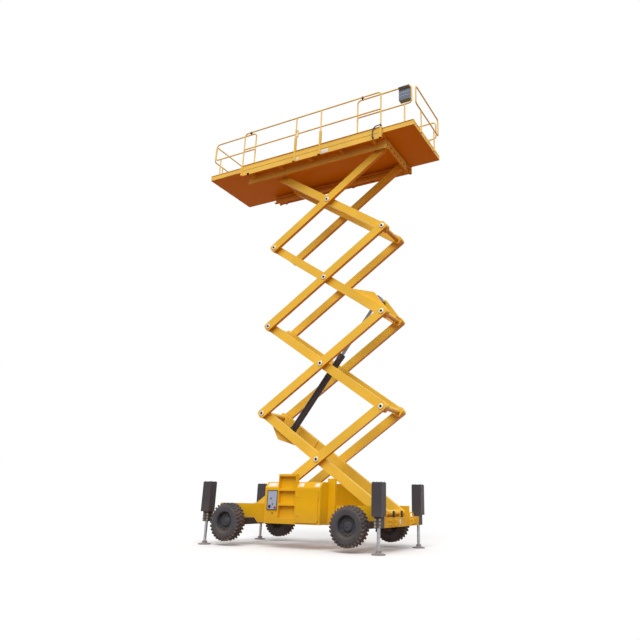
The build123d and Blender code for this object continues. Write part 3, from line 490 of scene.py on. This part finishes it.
def tyre_rubber():
    material, tree, shader, spot = blank_material("tyre_rubber")
    place = spot.outputs["Object"]
    front, rear = joints["spin_front_near"]["pos_m"], joints["spin_rear_near"]["pos_m"]
    at = node(tree, "SeparateXYZ", Vector=place)
    from_middle = maths(tree, "ABSOLUTE", maths(tree, "SUBTRACT", at.outputs["X"], (front[0] + rear[0]) / 2))
    along = maths(tree, "SUBTRACT", from_middle, (front[0] - rear[0]) / 2)
    rise = maths(tree, "SUBTRACT", at.outputs["Z"], front[2])
    squares = maths(tree, "ADD", maths(tree, "POWER", along, 2), maths(tree, "POWER", rise, 2))
    out = maths(tree, "POWER", squares, 0.5)
    base = linear(RUBBER)
    tint = ramp(tree, noise(tree, place, 6.0, 8.0), 0.3, shaded(base, 0.75), 0.7, shaded(base, 1.15))
    patches = ranged(tree, noise(tree, place, 4.5, 10.0), 0.38, 0.62, 0.1, 0.9)
    earth = maths(tree, "MULTIPLY", ranged(tree, out, 0.31, 0.36, 0.04, 0.75), patches)
    dusty = node(tree, "MixRGB", Fac=earth, Color1=tint, Color2=linear(DRY_EARTH)).outputs[0]
    scuff = maths(tree, "MULTIPLY", edges(tree, 0.007), 0.6)
    scuffed = node(tree, "MixRGB", Fac=scuff, Color1=dusty, Color2=linear(SCUFFED_LUG)).outputs[0]
    tree.links.new(scuffed, shader.inputs["Base Color"])
    tree.links.new(ranged(tree, earth, 0.0, 0.75, 0.62, 0.92), shader.inputs["Roughness"])
    shader.inputs["Specular IOR Level"].default_value = 0.3
    swells = maths(tree, "MULTIPLY", noise(tree, place, 30.0), 2.0)
    grain = maths(tree, "ADD", noise(tree, place, 240.0, 4.0), swells)
    surface_bump(tree, shader, grain, 0.3, 0.001)
    return material


rubber = tyre_rubber()


def build_sidewall(wheel):
    shape = bmesh.new()
    middle = Vector(joints[f"spin_{wheel}"]["pos_m"])
    low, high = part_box(f"tyre_{wheel}")
    proud = SIDEWALL_PROUD
    profile = [
        (SIDEWALL_R, -proud), (0.97 * SIDEWALL_R, 0.3 * proud), (0.93 * SIDEWALL_R, 0.8 * proud),
        (0.90 * SIDEWALL_R, 0.3 * proud), (0.87 * SIDEWALL_R, 0.7 * proud), (1.06 * BEAD_R, 0.8 * proud),
        (1.03 * BEAD_R, 0.1 * proud), (BEAD_R, 0.2 * proud), (BEAD_R, -2 * proud),
    ]
    for face, out in ((low[1], -1), (high[1], 1)):
        band(shape, facing((middle[0], face, middle[2]), (0, out, 0)), profile, 72)
    piece(f"sidewall_{wheel}", shape, rubber, f"wheel_{wheel}")


def build_second_lugs(wheel):
    shape = bmesh.new()
    middle = Vector(joints[f"spin_{wheel}"]["pos_m"])
    low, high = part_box(f"tyre_{wheel}")
    reach = (LUG_LENGTH * math.sin(LUG_SLANT) + LUG_THICK * math.cos(LUG_SLANT)) / 2
    top = math.sqrt(((high[2] - low[2]) / 2) ** 2 - reach**2)
    axle = Vector((0, -1, 0))
    for i in range(LUGS):
        for hand in (-1, 1):
            turn = 2 * math.pi / LUGS * (i + 0.5 + 0.25 * hand)
            out = Vector((math.cos(turn), 0, math.sin(turn)))
            length = axle * math.cos(LUG_SLANT) - axle.cross(out) * hand * math.sin(LUG_SLANT)
            foot = middle + out * LUG_ROOT + axle * hand * LUG_OFF
            plate(shape, facing(foot, out, length), (LUG_THICK, LUG_LENGTH, top - LUG_ROOT), 0.004)
    piece(f"second_lugs_{wheel}", shape, rubber, f"wheel_{wheel}")


for wheel in WHEELS:
    dress(rubber, f"tyre_{wheel}")
    build_sidewall(wheel)
    build_second_lugs(wheel)

# Rims: pressed steel discs in rolled drums, charcoal like the axles, held by ten painted nuts.
# A rolled flange grips the tyre's bead, and the hub end carries a ring of screws round a drain plug.
NUT_RING = 0.150
NUTS = 10
NUT_FLATS = 0.024
DISC_FACE = 0.035
HUB_FACE = 0.075
HUB_SCREW_RING = 0.052
HUB_SCREWS = 8
HUB_SCREW_FLATS = 0.014
DRAIN_FLATS = 0.028
VALVE_RING = 0.182
DRUM_R = 0.196
DRUM_IN = 0.026

rim_paint = sprayed_paint("rim_paint", (0.27, 0.275, 0.30), RUBBED_CHARCOAL, 0.40, 0.4, 0.3)


def build_wheel_fixings(wheel):
    middle = Vector(joints[f"spin_{wheel}"]["pos_m"])
    out = math.copysign(1, middle[1])
    disc = facing(middle + Vector((0, out * DISC_FACE, 0)), (0, out, 0))
    hub = facing(middle + Vector((0, out * HUB_FACE, 0)), (0, out, 0))
    shape = bmesh.new()
    ring_of_bolts(shape, disc, NUT_RING, NUTS, NUT_FLATS)
    ring_of_bolts(shape, hub, HUB_SCREW_RING, HUB_SCREWS, HUB_SCREW_FLATS)
    hex_bolt(shape, hub, DRAIN_FLATS)
    valve = disc @ Matrix.Translation((0, VALVE_RING, 0))
    lathe(shape, valve, [(0.006, 0), (0.006, 0.03), (0.004, 0.045)], 10)
    piece(f"wheel_fixings_{wheel}", shape, rim_paint, f"wheel_{wheel}")


def build_rim_flange(wheel):
    shape = bmesh.new()
    middle = Vector(joints[f"spin_{wheel}"]["pos_m"])
    out = math.copysign(1, middle[1])
    low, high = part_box(f"tyre_{wheel}")
    face = facing((middle[0], high[1] if out > 0 else low[1], middle[2]), (0, out, 0))
    rolled = [
        (1.01 * BEAD_R, -0.004), (1.01 * BEAD_R, 0.001), (0.97 * BEAD_R, 0.004), (0.92 * BEAD_R, 0.003),
        (0.89 * BEAD_R, -0.002), (1.05 * DRUM_R, -0.6 * DRUM_IN), (DRUM_R, -DRUM_IN),
    ]
    band(shape, face, rolled, 60)
    piece(f"rim_flange_{wheel}", shape, rim_paint, f"wheel_{wheel}")


for wheel in WHEELS:
    dress(rim_paint, f"rim_{wheel}")
    build_wheel_fixings(wheel)
    build_rim_flange(wheel)

# Stabilisers: square charcoal cases clamped to the end beams by six bolts each, shut by a
# screwed lid. The legs are hard-chromed bar, screwed into round feet turned from steel.
CLAMP_OUT = 0.053
CLAMP_BOLT_X = 0.052
CLAMP_BOLT_Z = 0.062
CLAMP_BOLT_FLATS = 0.024
LID_SIZE = (0.196, 0.176, 0.008)
LID_SCREW_X = 0.085
LID_SCREW_Y = 0.075
LID_SCREW_FLATS = 0.014

case_paint = sprayed_paint("case_paint", (0.275, 0.265, 0.285), RUBBED_CHARCOAL, 0.38, 0.9, 0.3)
chrome = plated_steel("hard_chrome", (0.70, 0.69, 0.71), 0.18)
foot_steel = sprayed_paint("foot_paint", (0.56, 0.54, 0.54), (0.72, 0.70, 0.68), 0.5, 0.0, 0.2)
dress(case_paint, "stabiliser_cases")


def build_stabiliser_fixings():
    shape = bmesh.new()
    lids = bmesh.new()
    case_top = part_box("stabiliser_cases")[1][2]
    beam_low, beam_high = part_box("end_beams")
    middle_z = (beam_low[2] + beam_high[2]) / 2
    for wheel in WHEELS:
        leg_low, leg_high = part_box(f"leg_{wheel}")
        x, y = (leg_low[0] + leg_high[0]) / 2, (leg_low[1] + leg_high[1]) / 2
        side = math.copysign(1, y)
        face = y + side * CLAMP_OUT
        for across in (-CLAMP_BOLT_X, CLAMP_BOLT_X):
            for rise in (-CLAMP_BOLT_Z, 0, CLAMP_BOLT_Z):
                hex_bolt(shape, facing((x + across, face, middle_z + rise), (0, side, 0)), CLAMP_BOLT_FLATS)
        top = facing((x, y, case_top), (0, 0, 1))
        plate(lids, top, LID_SIZE)
        for dx in (-LID_SCREW_X, LID_SCREW_X):
            for dy in (-LID_SCREW_Y, LID_SCREW_Y):
                hex_bolt(shape, top @ Matrix.Translation((dx, dy, LID_SIZE[2])), LID_SCREW_FLATS)
    piece("clamp_bolts", shape, bolt_steel, "chassis")
    piece("case_lids", lids, case_paint, "chassis")


build_stabiliser_fixings()
for wheel in WHEELS:
    dress(chrome, f"leg_{wheel}")
    dress(foot_steel, f"foot_{wheel}")

# Near housing: a folded steel box between the wheels, welded, in the chassis yellow. Three climbing
# steps are let into it, each with a punched grip plate, and bare plates are riveted on the slope and beam.
HOUSE_FACE = -1.05
STEP_IN = 0.0205
STEP_CLEAR = 0.410
STEP_PITCH = 0.290
STEP_UNDER_TOP = 0.290
GRIP_T = 0.005
GRIP_IN = 0.012
GRIP_DEPTH = 0.070
GRIP_SEAT = 0.046
STUD_R = 0.009
STUD_H = 0.004
STUD_PITCH = (0.041, 0.034)
SLOPE_PLATES = ((-0.20, 0.24), (0.51, 0.13), (0.90, 0.11))
SLOPE_PLATE_H = 0.10
SLOPE_Z = 1.240
SLOPE_IN = 0.060
PLATE_WHITE = (0.86, 0.86, 0.84)
PLATE_T = 0.002
RIVET_IN = 0.008

plate_white = moulded_plastic("plate_white", PLATE_WHITE, 0.35)
black_plastic = moulded_plastic("black_plastic", (0.10, 0.10, 0.105), 0.45)
dress(chassis_paint, "near_housing", "far_housing")


def build_step_grips():
    housing_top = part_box("near_housing")[1][2]
    x0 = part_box("ground_panel")[1][0] + STEP_IN
    x1 = x0 + STEP_CLEAR
    stud = [(STUD_R, 0), (0.8 * STUD_R, STUD_H), (0.4 * STUD_R, 0.7 * STUD_H)]
    shape = bmesh.new()
    for i in range(3):
        z = housing_top - STEP_UNDER_TOP + STEP_PITCH * (i - 2)
        seat = facing(((x0 + x1) / 2, HOUSE_FACE + GRIP_SEAT, z), (0, 0, 1))
        plate(shape, seat, (x1 - x0 - 2 * GRIP_IN, GRIP_DEPTH, GRIP_T), 0.0015)
        for column in range(9):
            for row in range(2):
                across, along = (column - 4) * STUD_PITCH[0], (row - 0.5) * STUD_PITCH[1]
                lathe(shape, seat @ Matrix.Translation((across, along, GRIP_T)), stud, 10)
    piece("step_grips", shape, chassis_paint, "chassis")


def riveted_plate(name, place, size, body):
    shape = bmesh.new()
    plate(shape, place, (size[0], size[1], PLATE_T), 0.0008)
    for side in (-1, 1):
        for end in (-1, 1):
            across, along = side * (size[0] / 2 - RIVET_IN), end * (size[1] / 2 - RIVET_IN)
            spot = place @ Matrix.Translation((across, along, PLATE_T))
            lathe(shape, spot, [(0.003, 0), (0.0026, 0.0012), (0.0012, 0.0018)], 10)
    piece(name, shape, plate_white, body)


build_step_grips()
for i, (x, wide) in enumerate(SLOPE_PLATES):
    slope = facing((x, HOUSE_FACE + SLOPE_IN, SLOPE_Z), (0, -1, 1))
    riveted_plate(f"slope_plate_{i + 1}", slope, (wide, SLOPE_PLATE_H), "chassis")
beam_low, beam_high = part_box("end_beams")
beam_spot = (beam_high[0] - EYE_REACH, -0.117, beam_low[2] + 0.095)
riveted_plate("beam_plate", facing(beam_spot, (1, 0, 0)), (0.07, 0.09), "chassis")

# Ground control panel: a moulded blue-grey plate in a surround of black bars, painted shadow of its recess,
# screwed to the housing. It has a dark selector, two small buttons and a red stop button, with a key lock in
# the housing below.
PANEL_GREY = (0.62, 0.66, 0.74)
SHADOW_BAR_W = 0.012
SHADOW_BAR_T = 0.008
SELECTOR_SPOT = (-0.062, -0.128)
BUTTON_SPOTS = ((0.012, -0.079), (-0.030, 0.030))
STOP_SPOT = (0.085, -0.140, 0)
KEY_BELOW = 0.062

panel_plastic = moulded_plastic("panel_grey", PANEL_GREY, 0.4)
stop_red = moulded_plastic("stop_red", (0.70, 0.10, 0.08), 0.35)
dress(panel_plastic, "ground_panel")


def push_button(shape, place, radius, height):
    rounded = [(radius, 0), (radius, 0.7 * height), (0.85 * radius, height), (0.5 * radius, 0.95 * height)]
    lathe(shape, place, rounded, 20)


def stop_button(shape, place, radius):
    stalk, lip = 0.55 * radius, 0.80 * radius
    head = [(stalk, 0), (stalk, stalk), (0.96 * radius, lip), (radius, 1.2 * radius), (lip, 1.4 * radius)]
    lathe(shape, place, head, 28)


def build_ground_panel():
    low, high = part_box("ground_panel")
    front = facing(((low[0] + high[0]) / 2, low[1], (low[2] + high[2]) / 2), (0, -1, 0))
    wide, tall = high[0] - low[0], high[2] - low[2]
    dark = bmesh.new()
    # Black bars round the plate's edges: painted shadow of the recess the plate sits in.
    for side in (-1, 1):
        upright = front @ Matrix.Translation((side * (wide - SHADOW_BAR_W) / 2, 0, 0))
        plate(dark, upright, (SHADOW_BAR_W, tall, SHADOW_BAR_T))
        level = front @ Matrix.Translation((0, side * (tall - SHADOW_BAR_W) / 2, 0))
        plate(dark, level, (wide, SHADOW_BAR_W, SHADOW_BAR_T))
    x, y = SELECTOR_SPOT
    lathe(dark, front @ Matrix.Translation((x, y, 0)), [(0.032, 0), (0.032, 0.008), (0.022, 0.012)], 28)
    plate(dark, front @ Matrix.Translation((x, y, 0.012)), (0.012, 0.044, 0.020), 0.003)
    for x, y in BUTTON_SPOTS:
        push_button(dark, front @ Matrix.Translation((x, y, 0)), 0.013, 0.014)
    piece("panel_shadow_bars_and_knobs", dark, black_plastic, "chassis")
    stop = bmesh.new()
    stop_button(stop, front @ Matrix.Translation(STOP_SPOT), 0.022)
    piece("panel_stop_button", stop, stop_red, "chassis")
    key = bmesh.new()
    lock = facing((front.translation[0] + 0.012, HOUSE_FACE, low[2] - KEY_BELOW), (0, -1, 0))
    lathe(key, lock, [(0.016, 0), (0.016, 0.006), (0.013, 0.009), (0.009, 0.007)], 24)
    piece("panel_key_lock", key, black_plastic, "chassis")


build_ground_panel()

# Near cover: a pressed steel door on two pin hinges, shut by two quarter-turn latches, all sprayed in the
# chassis yellow.
LATCH_IN = 0.045
LATCH_RISE = 0.14

dress(chassis_paint, "near_cover")


def latch(shape, place):
    lathe(shape, place, [(0.024, 0), (0.024, 0.003), (0.019, 0.006), (0.013, 0.004)], 24)
    plate(shape, place @ Matrix.Translation((0, 0, 0.004)), (0.007, 0.030, 0.007), 0.0015)


def build_near_latches():
    low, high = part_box("near_cover")
    shape = bmesh.new()
    for z in (low[2] + LATCH_RISE, high[2] - LATCH_RISE):
        latch(shape, facing((low[0] + LATCH_IN, low[1], z), (0, -1, 0)))
    piece("near_cover_latches", shape, chassis_paint, "near_cover")


build_near_latches()

# Engine cover: a long pressed door on the far side, hinged along its top, with two banks of punched
# louvres for the radiator air and two latches at the bottom. The engine behind it is one cast block.
LOUVRES = 7
LOUVRE_W = 0.42
LOUVRE_H = 0.040
LOUVRE_OUT = 0.020
LOUVRE_PITCH = 0.062
LOUVRE_START = 0.13
BANK_OFF = 0.36
ENGINE_LATCH_IN = 0.16
ENGINE_LATCH_RISE = 0.055

dress(chassis_paint, "engine_cover")
cast_iron = sprayed_paint("engine_paint", (0.30, 0.31, 0.32), (0.42, 0.40, 0.38), 0.6)
dress(cast_iron, "engine_block")


def louvre(shape, place):
    sections = []
    steps = 10
    for i in range(steps + 1):
        along = LOUVRE_W * (i / steps - 0.5)
        swell = math.sqrt(max(0.0, 1 - abs(2 * i / steps - 1) ** 6))
        out = LOUVRE_OUT * swell
        profile = [
            (LOUVRE_H, 0), (0.55 * LOUVRE_H, 0.75 * out), (0, out), (0, 0.5 * out), (0.3 * LOUVRE_H, 0),
        ]
        sections.append([shape.verts.new(place @ Vector((along, rise, proud))) for rise, proud in profile])
    for here, after in zip(sections, sections[1:]):
        for a, b, c, d in zip(here, after, after[1:], here[1:]):
            shape.faces.new((a, b, c, d))


def build_engine_cover():
    low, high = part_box("engine_cover")
    face = high[1]
    shape = bmesh.new()
    for bank in (-1, 1):
        x = (low[0] + high[0]) / 2 + bank * BANK_OFF
        for i in range(LOUVRES):
            z = low[2] + LOUVRE_START + i * LOUVRE_PITCH
            louvre(shape, facing((x, face, z), (0, 1, 0)))
    piece("engine_louvres", shape, chassis_paint, "engine_cover")
    latches = bmesh.new()
    for x in (low[0] + ENGINE_LATCH_IN, high[0] - ENGINE_LATCH_IN):
        latch(latches, facing((x, face, low[2] + ENGINE_LATCH_RISE), (0, 1, 0)))
    piece("engine_cover_latches", latches, bolt_steel, "engine_cover")


build_engine_cover()

# Scissor stack: welded box-section arms sprayed a paler yellow, hung on greased steel pins. Each pin
# ends in a dark bore with a grease nipple, inside a plated thrust washer.
ARM_YELLOW = (0.93, 0.75, 0.26)
RUBBED_ARM = (0.97, 0.86, 0.50)
# Deeper orange for faces turned down on the arms, platform and decks: painted shade, not a paint colour.
PAINTED_UNDERSIDE_SHADE = (0.88, 0.56, 0.06)
WASHER_FACE = 0.557
ROLLER_FACE = 0.620
LUG_FACE = 0.473
PIN_WASHER_R = 0.058
PIN_WASHER_T = 0.006
PIN_BORE_R = 0.029
STAGES = 4

arm_paint = sprayed_paint("arm_yellow", ARM_YELLOW, RUBBED_ARM, 0.34, underside_shade_colour=PAINTED_UNDERSIDE_SHADE)
greased_steel = plated_steel("greased_steel", (0.16, 0.15, 0.15), 0.45)
washer_steel = plated_steel("washer_steel", (0.90, 0.88, 0.82), 0.4)


def pin_end(washers, bores, place):
    lathe(washers, place, [(PIN_WASHER_R, 0), (PIN_WASHER_R, 0.004), (0.93 * PIN_WASHER_R, PIN_WASHER_T)], 32)
    bore = place @ Matrix.Translation((0, 0, PIN_WASHER_T))
    hollow = [(PIN_BORE_R, 0), (PIN_BORE_R, 0.002), (0.8 * PIN_BORE_R, 0.003), (0.5 * PIN_BORE_R, 0.001)]
    lathe(bores, bore, hollow)
    lathe(bores, bore, [(0.007, 0), (0.007, 0.006), (0.004, 0.012)], 8)


def build_pin_ends(stage):
    middle = Vector(joints[f"centre_{stage}"]["pos_m"])
    right = Vector(joints["lift" if stage == 1 else f"end_{stage - 1}"]["pos_m"])
    washers = bmesh.new()
    bores = bmesh.new()
    for spot in (middle, right, 2 * middle - right):
        face = WASHER_FACE
        if stage == 1 and spot == right:
            face = LUG_FACE
        elif stage == STAGES and spot not in (middle, right):
            face = ROLLER_FACE
        for side in (-1, 1):
            pin_end(washers, bores, facing((spot[0], side * face, spot[2]), (0, side, 0)))
    piece(f"pin_washers_{stage}", washers, washer_steel, f"inner_{stage}")
    piece(f"pin_bores_{stage}", bores, greased_steel, f"inner_{stage}")


for stage in range(1, STAGES + 1):
    dress(arm_paint, f"inner_frame_{stage}", f"outer_arms_{stage}")
    build_pin_ends(stage)

# Lift cylinder: a drawn steel barrel painted grey with a chromed rod. A gland nut closes the top, and a
# steel oil pipe runs along the barrel in two clips, from a port block at the foot. Welded gussets carry
# its pins on the first and third frames.
BARREL_GREY = (0.28, 0.27, 0.29)
BARREL_LENGTH = 2.33
BARREL_R = 0.078
GLAND_R = 0.084
PIPE_R = 0.011
PIPE_BEND = 0.03
PIPE_OUT = 0.032
PORT_ALONG = 0.22
PORT_SIZE = (0.07, 0.11, 0.05)
CLIPS_ALONG = (0.7, 1.7)
CLIP_W = 0.03
CLIP_T = 0.004
CYLINDER_LENGTH = 3.906
GUSSET_EYE_R = 0.083
GUSSET_Y = (0.316, 0.3415)
GUSSET_DEPTH = 0.085

barrel_paint = sprayed_paint("barrel_grey", BARREL_GREY, (0.45, 0.44, 0.45), 0.40)
rod_chrome = plated_steel("rod_chrome", (0.52, 0.51, 0.53), 0.22)
dress(barrel_paint, "cylinder_barrel")
dress(rod_chrome, "cylinder_rod")


def gusset(shape, eye, ends, side):
    corners = list(ends)
    for i in range(24):
        turn = 2 * math.pi * i / 24
        corners.append(eye + Vector((math.cos(turn), 0, math.sin(turn))) * GUSSET_EYE_R)
    points = []
    for y in GUSSET_Y:
        points += [shape.verts.new((corner[0], side * y, corner[2])) for corner in corners]
    hull = bmesh.ops.convex_hull(shape, input=points)
    spare = [item for item in hull["geom_interior"] if isinstance(item, bmesh.types.BMVert)]
    bmesh.ops.delete(shape, geom=spare, context="VERTS")


def build_gussets(stage, pivot, eye, back, ahead):
    right, middle = Vector(joints[pivot]["pos_m"]), Vector(joints[f"centre_{stage}"]["pos_m"])
    along = (right - middle).normalized()
    edge = (eye - middle) - along * (eye - middle).dot(along)
    edge = edge.normalized() * GUSSET_DEPTH
    reach = (eye - middle).dot(along)
    ends = [middle + along * (reach + step) + edge for step in (-back, ahead)]
    shape = bmesh.new()
    for side in (-1, 1):
        gusset(shape, eye, ends, side)
    piece(f"cylinder_gussets_{stage}", shape, arm_paint, f"inner_{stage}")


def build_cylinder_trim():
    foot = Vector(joints["cylinder_foot"]["pos_m"])
    ahead = Vector(joints["cylinder_stroke"]["axis"]).normalized()
    above = Vector((0, -1, 0))
    run = BARREL_R + PIPE_OUT
    block_at = foot + ahead * PORT_ALONG
    shape = bmesh.new()
    plate(shape, facing(block_at + above * (BARREL_R - 0.006), above, ahead), PORT_SIZE)
    piece("cylinder_port", shape, barrel_paint, "barrel")
    oil = bmesh.new()
    top = foot + ahead * (BARREL_LENGTH - 0.05)
    pipe(oil, [
        block_at + ahead * 0.05 + above * run, foot + ahead * 0.45 + above * run,
        top - ahead * 0.10 + above * run, top - ahead * 0.10 + above * (GLAND_R - 0.01),
    ], PIPE_R, PIPE_BEND)
    outer = BARREL_R + CLIP_T
    for along in CLIPS_ALONG:
        ring = facing(foot + ahead * (along - CLIP_W / 2), ahead)
        lathe(oil, ring, [(outer, 0), (outer, CLIP_W), (BARREL_R, CLIP_W)], 32)
        plate(oil, facing(foot + ahead * along + above * BARREL_R, above, ahead), (CLIP_W, CLIP_W, 0.035))
    piece("cylinder_pipe", oil, barrel_paint, "barrel")
    gland = bmesh.new()
    collar = facing(foot + ahead * (BARREL_LENGTH - 0.002), ahead)
    lathe(gland, collar, [(GLAND_R - 0.004, 0), (GLAND_R - 0.006, 0.012), (0.050, 0.014)], 32)
    piece("cylinder_gland", gland, greased_steel, "barrel")


build_cylinder_trim()
foot_eye = Vector(joints["cylinder_foot"]["pos_m"])
head_eye = foot_eye + Vector(joints["cylinder_stroke"]["axis"]).normalized() * CYLINDER_LENGTH
build_gussets(1, "lift", foot_eye, back=0.40, ahead=0.62)
build_gussets(3, "end_2", head_eye, back=0.66, ahead=0.60)

# Platform: a welded frame with folded skirts in pale yellow, its faces turned down painted a deeper orange as
# painted shade. The floor is pressed tread plate, black bolts hold the rail sockets, and two bare plates are
# riveted to the skirt.
PLATFORM_YELLOW = (0.92, 0.76, 0.36)
SKIRT_FACE = 0.938
SKIRT_BOLT_Z = 9.250
SKIRT_BOLT_FLATS = 0.040
SKIRT_PLATE_RISE = 0.05
CONDUIT_R = 0.013
CONDUIT_OUT = 0.012
CONDUIT_BEND = 0.13


def tread_plate(name, colour, rubbed):
    # Faces turned down take the deeper orange: painted shade under the platform and decks.
    material = sprayed_paint(name, colour, rubbed, 0.40, 0.0, 0.5, PAINTED_UNDERSIDE_SHADE)
    tree = material.node_tree
    shader = tree.nodes["Principled BSDF"]
    shader.inputs["Specular IOR Level"].default_value = 0.06
    spot = tree.nodes.new("ShaderNodeTexCoord")
    turned = node(tree, "Mapping", Vector=spot.outputs["Object"], Rotation=(0, 0, math.radians(45)))
    bars = node(tree, "TexBrick", Vector=turned.outputs[0], Scale=14.0, Mortar_Size=0.16)
    up = node(tree, "SeparateXYZ", Vector=spot.outputs["Normal"]).outputs["Z"]
    flat = ranged(tree, up, 0.90, 0.99, 0.0, 1.0)
    raised = maths(tree, "MULTIPLY", maths(tree, "SUBTRACT", 1.0, bars.outputs["Fac"]), flat)
    earlier = shader.inputs["Normal"].links[0].from_socket
    bump = node(tree, "Bump", Height=raised, Normal=earlier, Strength=0.6, Distance=0.003)
    tree.links.new(bump.outputs["Normal"], shader.inputs["Normal"])
    return material


platform_paint = tread_plate("platform_yellow", PLATFORM_YELLOW, RUBBED_ARM)
black_bolt = plated_steel("blacked_steel", (0.13, 0.125, 0.12), 0.4)
dress(platform_paint, "platform_frame", "left_deck", "right_deck")


def build_skirt_bolts():
    low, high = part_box("platform_frame")
    gate_low, gate_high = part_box("access_gate")
    shape = bmesh.new()
    for x in (low[0] + 0.24, gate_low[0], gate_high[0], high[0] - 0.04):
        for side in (-1, 1):
            hex_bolt(shape, facing((x, side * SKIRT_FACE, SKIRT_BOLT_Z), (0, side, 0)), SKIRT_BOLT_FLATS)
    piece("skirt_bolts", shape, black_bolt, "platform")
    plate_z = SKIRT_BOLT_Z + SKIRT_PLATE_RISE
    small = facing((gate_low[0] + 0.10, -SKIRT_FACE, plate_z), (0, -1, 0))
    riveted_plate("skirt_plate_small", small, (0.09, 0.07), "platform")
    large = facing((gate_high[0] + 0.16, -SKIRT_FACE, plate_z), (0, -1, 0))
    riveted_plate("skirt_plate_large", large, (0.22, 0.11), "platform")


def build_skirt_conduit():
    low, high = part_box("platform_frame")
    y = low[1] - CONDUIT_OUT
    x0, x1 = high[0] - 0.235, high[0] - 0.02
    z0, z1 = SKIRT_BOLT_Z + 0.03, SKIRT_BOLT_Z + 0.32
    shape = bmesh.new()
    pipe(shape, [(x0, y, z0), (x0, y, z1), (x1, y, z1)], CONDUIT_R, CONDUIT_BEND)
    reach = -SKIRT_FACE - y + CONDUIT_R
    for x, z in ((x0, z0), (x1, z1)):
        elbow = facing((x, -SKIRT_FACE, z), (0, -1, 0))
        lathe(shape, elbow, [(0.024, 0), (0.024, 0.018), (0.019, 0.022), (0.019, reach)], 12)
    piece("skirt_conduit", shape, black_plastic, "platform")


build_skirt_bolts()
build_skirt_conduit()

# Guard rails: bent round tube in yellow, dropped into sockets. Where a deck's rail passes the main one, a
# black clamp with a turning knob locks the two.
RAIL_YELLOW = (0.93, 0.80, 0.46)
RAIL_TOP = 10.574
RAIL_R = 0.020
RAIL_Y = 0.94
CLAMP_X = (-1.755, 1.741)
CLAMP_W = 0.048
CLAMP_T = 0.007

rail_paint = sprayed_paint("rail_yellow", RAIL_YELLOW, RUBBED_ARM, 0.30)
dress(rail_paint, "main_rails", "access_gate", "left_rails", "right_rails")


def build_rail_clamps():
    shape = bmesh.new()
    outer = RAIL_R + CLAMP_T
    grip = [(outer - 0.003, 0), (outer, 0.003), (outer, 0.045), (outer - 0.003, CLAMP_W)]
    knob = [(0.007, 0), (0.007, 0.012), (0.016, 0.014), (0.018, 0.024), (0.010, 0.029)]
    for x in CLAMP_X:
        for side in (-1, 1):
            middle = Vector((x, side * RAIL_Y, RAIL_TOP - RAIL_R))
            start = facing(middle - Vector((CLAMP_W / 2, 0, 0)), (1, 0, 0))
            lathe(shape, start, grip, 24)
            neck = facing(middle + Vector((0, 0, outer - 0.004)), (0, 0, 1))
            lathe(shape, neck, knob, 16)
            lip = facing(middle - Vector((0, 0, outer - 0.003)), (0, 0, -1))
            plate(shape, lip, (0.030, 0.012, 0.030), 0.002)
    piece("rail_clamps", shape, black_plastic, "platform")


build_rail_clamps()

# Platform control box: a blue-grey moulded case hooked over the right deck's rail, with a dark lid and two
# paler ribs on its back. A lever, a row of buttons and a red stop button face the operator.
BOX_BLUE = (0.42, 0.47, 0.56)
BOX_RIB = (0.66, 0.70, 0.76)
BUTTON_PITCH = 0.055

box_plastic = moulded_plastic("box_blue", BOX_BLUE, 0.42)
rib_plastic = moulded_plastic("box_rib", BOX_RIB, 0.42)
dress(box_plastic, "platform_controls")


def build_control_box():
    low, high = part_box("platform_controls")
    wide, tall = high[0] - low[0], high[2] - low[2]
    middle = (low[0] + high[0]) / 2
    back = facing((middle, low[1], low[2]), (0, -1, 0))
    front = facing((middle, high[1], low[2]), (0, 1, 0))
    ribs = bmesh.new()
    for rise in (0.22, 0.46):
        plate(ribs, back @ Matrix.Translation((0, rise * tall, 0)), (wide - 0.03, 0.012, 0.006), 0.002)
    piece("box_ribs", ribs, rib_plastic, "right_deck")
    lid = bmesh.new()
    for place in (back, front):
        plate(lid, place @ Matrix.Translation((0, 0.90 * tall, 0)), (wide - 0.008, 0.13 * tall, 0.007))
    for column in range(4):
        spot = front @ Matrix.Translation(((column - 1.5) * BUTTON_PITCH, 0.62 * tall, 0))
        push_button(lid, spot, 0.014, 0.016)
    grip = front @ Matrix.Translation((0.06, 0.33 * tall, 0))
    lever = [(0.034, 0), (0.030, 0.010), (0.012, 0.022), (0.010, 0.055), (0.019, 0.066), (0.016, 0.092)]
    lathe(lid, grip, lever, 20)
    piece("box_lid_and_lever", lid, black_plastic, "right_deck")
    stop = bmesh.new()
    stop_button(stop, front @ Matrix.Translation((-0.07, 0.33 * tall, 0)), 0.027)
    piece("box_stop_button", stop, stop_red, "right_deck")


build_control_box()
